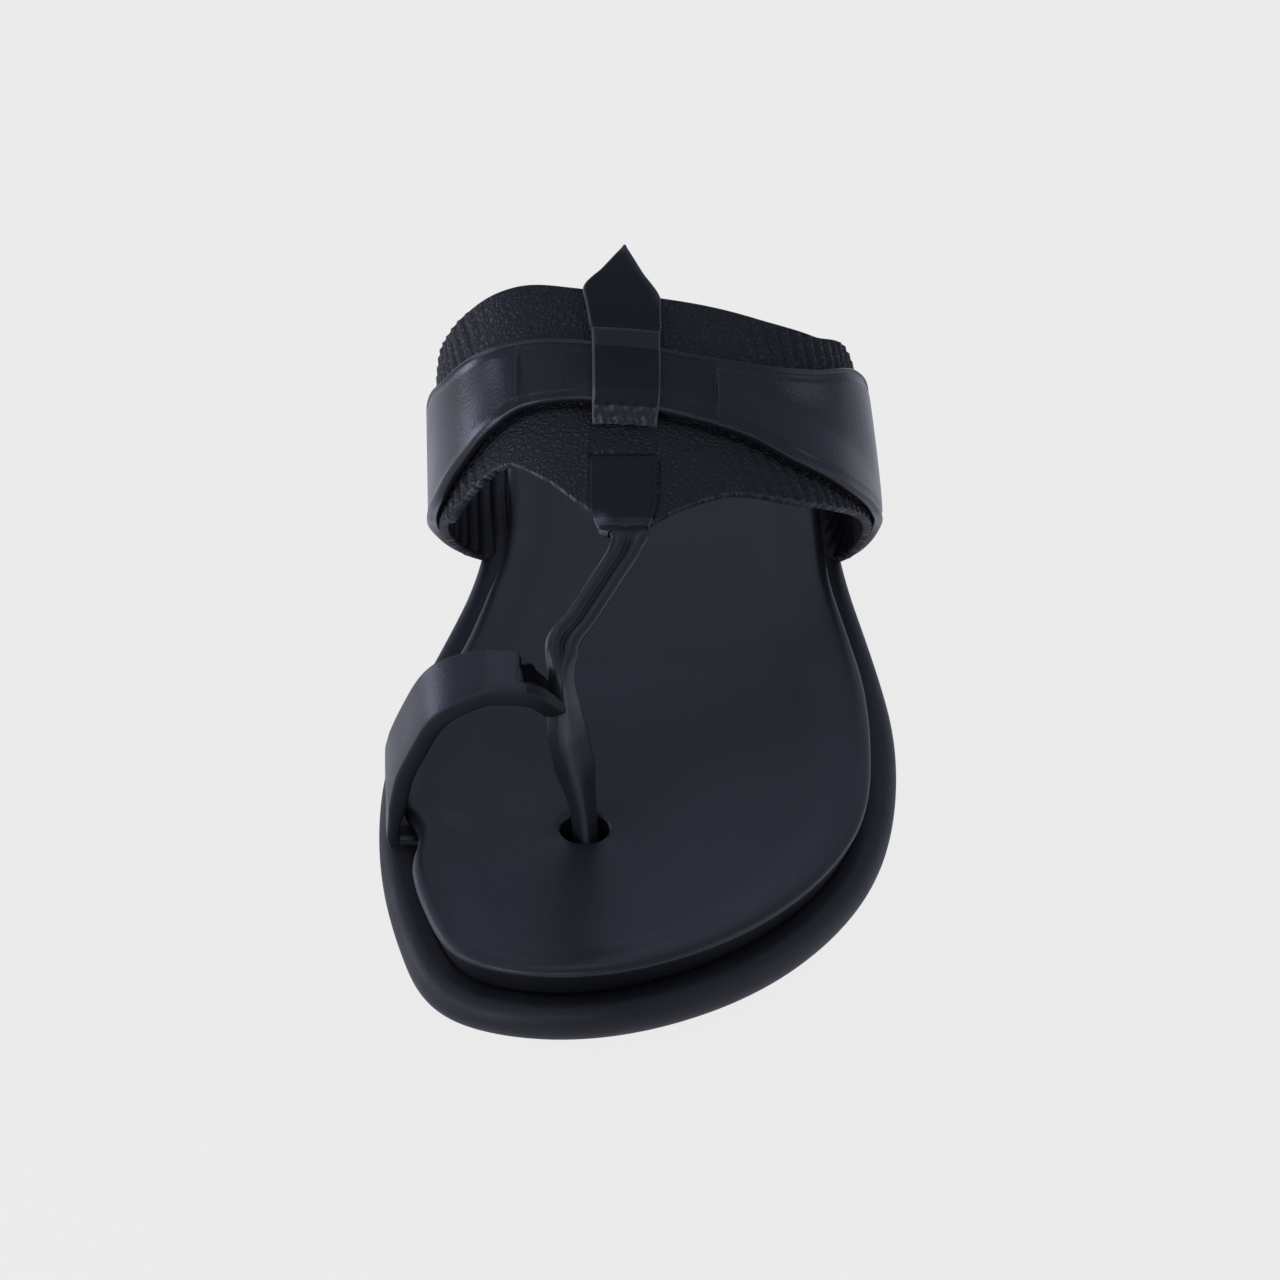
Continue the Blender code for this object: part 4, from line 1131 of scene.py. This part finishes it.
# It is rubbed at its cut edges, along the outer side behind the strap, and at its point
side_rubbed = 0.8 * bell(lateral - tab_place, 1.3) * ease(tab_y, *SIDE_RUBBED_FROM)
point_rubbed = 0.7 * ease(tab_y, *POINT_RUBBED_FROM)
tab_rubbed = np.where(tab_face >= 0, np.maximum(side_rubbed, point_rubbed), 0)
tab_rubbed = np.maximum(tab_rubbed, np.where(tab_face == 0, 0.7, 0))
# These parts get a rougher copy of the tab leather that is painted darker as painted shade; the gathered
# front end and the fold over the strap's rear edge keep the glossier leather
dull_and_shaded = (tab_y > TAB_STEP) | ((tab_y > DULL_FROM_TO[0]) & (tab_y < DULL_FROM_TO[1]))
tab_leather = smooth_leather(
    "tab_leather", (0.007, 0.0072, 0.008), (0.0105, 0.011, 0.012), 0.43, 0.29, 0.05, 1400, 0.5,
    (0.06, 0.06, 0.063),
)
matt_shaded_tab_leather = smooth_leather(
    "matt_and_shaded_tab_leather", (0.005, 0.0051, 0.0056), (0.008, 0.0083, 0.0091), 0.64, 0.48, 0.07, 1100, 0.25,
    (0.06, 0.06, 0.063),
)
centre_tab = strip_piece(
    "pointed_tab", on_band(tab_place / reach_mm, tab_y, tab_lift), [tab_leather, matt_shaded_tab_leather],
    tab_place, tab_y, tab_rubbed, dull_and_shaded & (tab_face == 1),
)
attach(centre_tab, "root")
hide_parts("centre_tab")

# ------------------------ floor, light and camera
# A plain pale studio sweep, three broad soft lights in front, above and behind, and strip lights to the
# left and right that pick out the edges of the straps. The camera looks down on the toe from in front.

FLOOR_REACH = 6.0
FLOOR_DROP = 0.0002     # the floor lies just under the sole
# The paper shows white to the lens and lights the leather more softly than it shows
FLOOR_SHOWN = (0.815, 0.815, 0.815)
FLOOR_GIVEN = (0.54, 0.555, 0.66)
STUDIO_COLOUR = (0.88, 0.95, 1.36)
STUDIO_STRENGTH = 0.285
LIGHTS_AIM = (0.0, 0.0, 0.02)
# Name, place, size, watts and colour
LIGHTS = [
    ("left_strip", (-1.16, 0, 0.33), (0.5, 0.6), 1.9, (0.92, 0.94, 1.25)),
    ("left_rear_strip", (-0.92, 0.72, 0.13), (0.45, 0.24), 0.8, (0.92, 0.94, 1.25)),
    ("left_front_strip", (-0.82, -0.82, 0.31), (0.5, 0.6), 3, (0.9, 0.93, 1.33)),
    ("front_softbox", (0, -0.92, 0.77), (0.6, 0.6), 1.4, (0.8, 1.05, 1.20)),
    ("left_high_softbox", (-0.51, 0, 1.09), (0.6, 0.6), 0.45, (0.9, 0.95, 1.2)),
    ("back_softbox", (0, 0.62, 1.03), (0.6, 0.6), 0.4, (0.9, 0.95, 1.25)),
    ("right_strip", (1.16, 0, 0.31), (0.5, 0.6), 0.6, (0.85, 1, 1.2)),
]
CAMERA_PLACE = (0.0, -0.9466, 0.58654)
CAMERA_AIM = (0.0, -0.0037, 0.020)
SENSOR_WIDTH = 36.0
FOCAL_LENGTH = 143.24

floor_mesh = bpy.data.meshes.new("studio_floor")
floor_corners = [
    (x * FLOOR_REACH, y * FLOOR_REACH, -FLOOR_DROP) for x, y in ((-1, -1), (1, -1), (1, 1), (-1, 1))
]
floor_mesh.from_pydata(floor_corners, [], [(0, 1, 2, 3)])
floor_finish, add, floor_shader = empty_finish("pale_floor")
seen_by = add("LightPath").outputs["Is Camera Ray"]
floor_colour = add("Mix", seen_by, (*FLOOR_GIVEN, 1), (*FLOOR_SHOWN, 1), data_type="RGBA")
add(
    floor_shader, Base_Color=(0.04, 0.04, 0.04, 1), Roughness=0.9, Specular_IOR_Level=0.0,
    Emission_Color=floor_colour, Emission_Strength=1.0,
)
floor_mesh.materials.append(floor_finish)
studio_floor = add_object("studio_floor", floor_mesh)

studio = bpy.data.worlds.new("studio")
studio.use_nodes = True
adder_to(studio.node_tree)(
    studio.node_tree.nodes["Background"], Color=(*STUDIO_COLOUR, 1), Strength=STUDIO_STRENGTH
)
bpy.context.scene.world = studio
bpy.context.scene.view_settings.view_transform = "Standard"


def add_facing(name, data, place, aim):
    """Light or camera at `place` that looks at `aim`."""
    made = add_object(name, data)
    made.location = place
    made.rotation_mode = "QUATERNION"
    made.rotation_quaternion = (Vector(aim) - Vector(place)).to_track_quat("-Z", "Y")
    return made


for name, place, size, watts, colour in LIGHTS:
    lamp = bpy.data.lights.new(name, "AREA")
    lamp.shape = "RECTANGLE"
    lamp.size, lamp.size_y = size
    lamp.energy = watts
    lamp.color = colour
    add_facing(name, lamp, place, LIGHTS_AIM)

lens = bpy.data.cameras.new("camera")
lens.sensor_width = SENSOR_WIDTH
lens.lens = FOCAL_LENGTH
bpy.context.scene.camera = add_facing("camera", lens, CAMERA_PLACE, CAMERA_AIM)
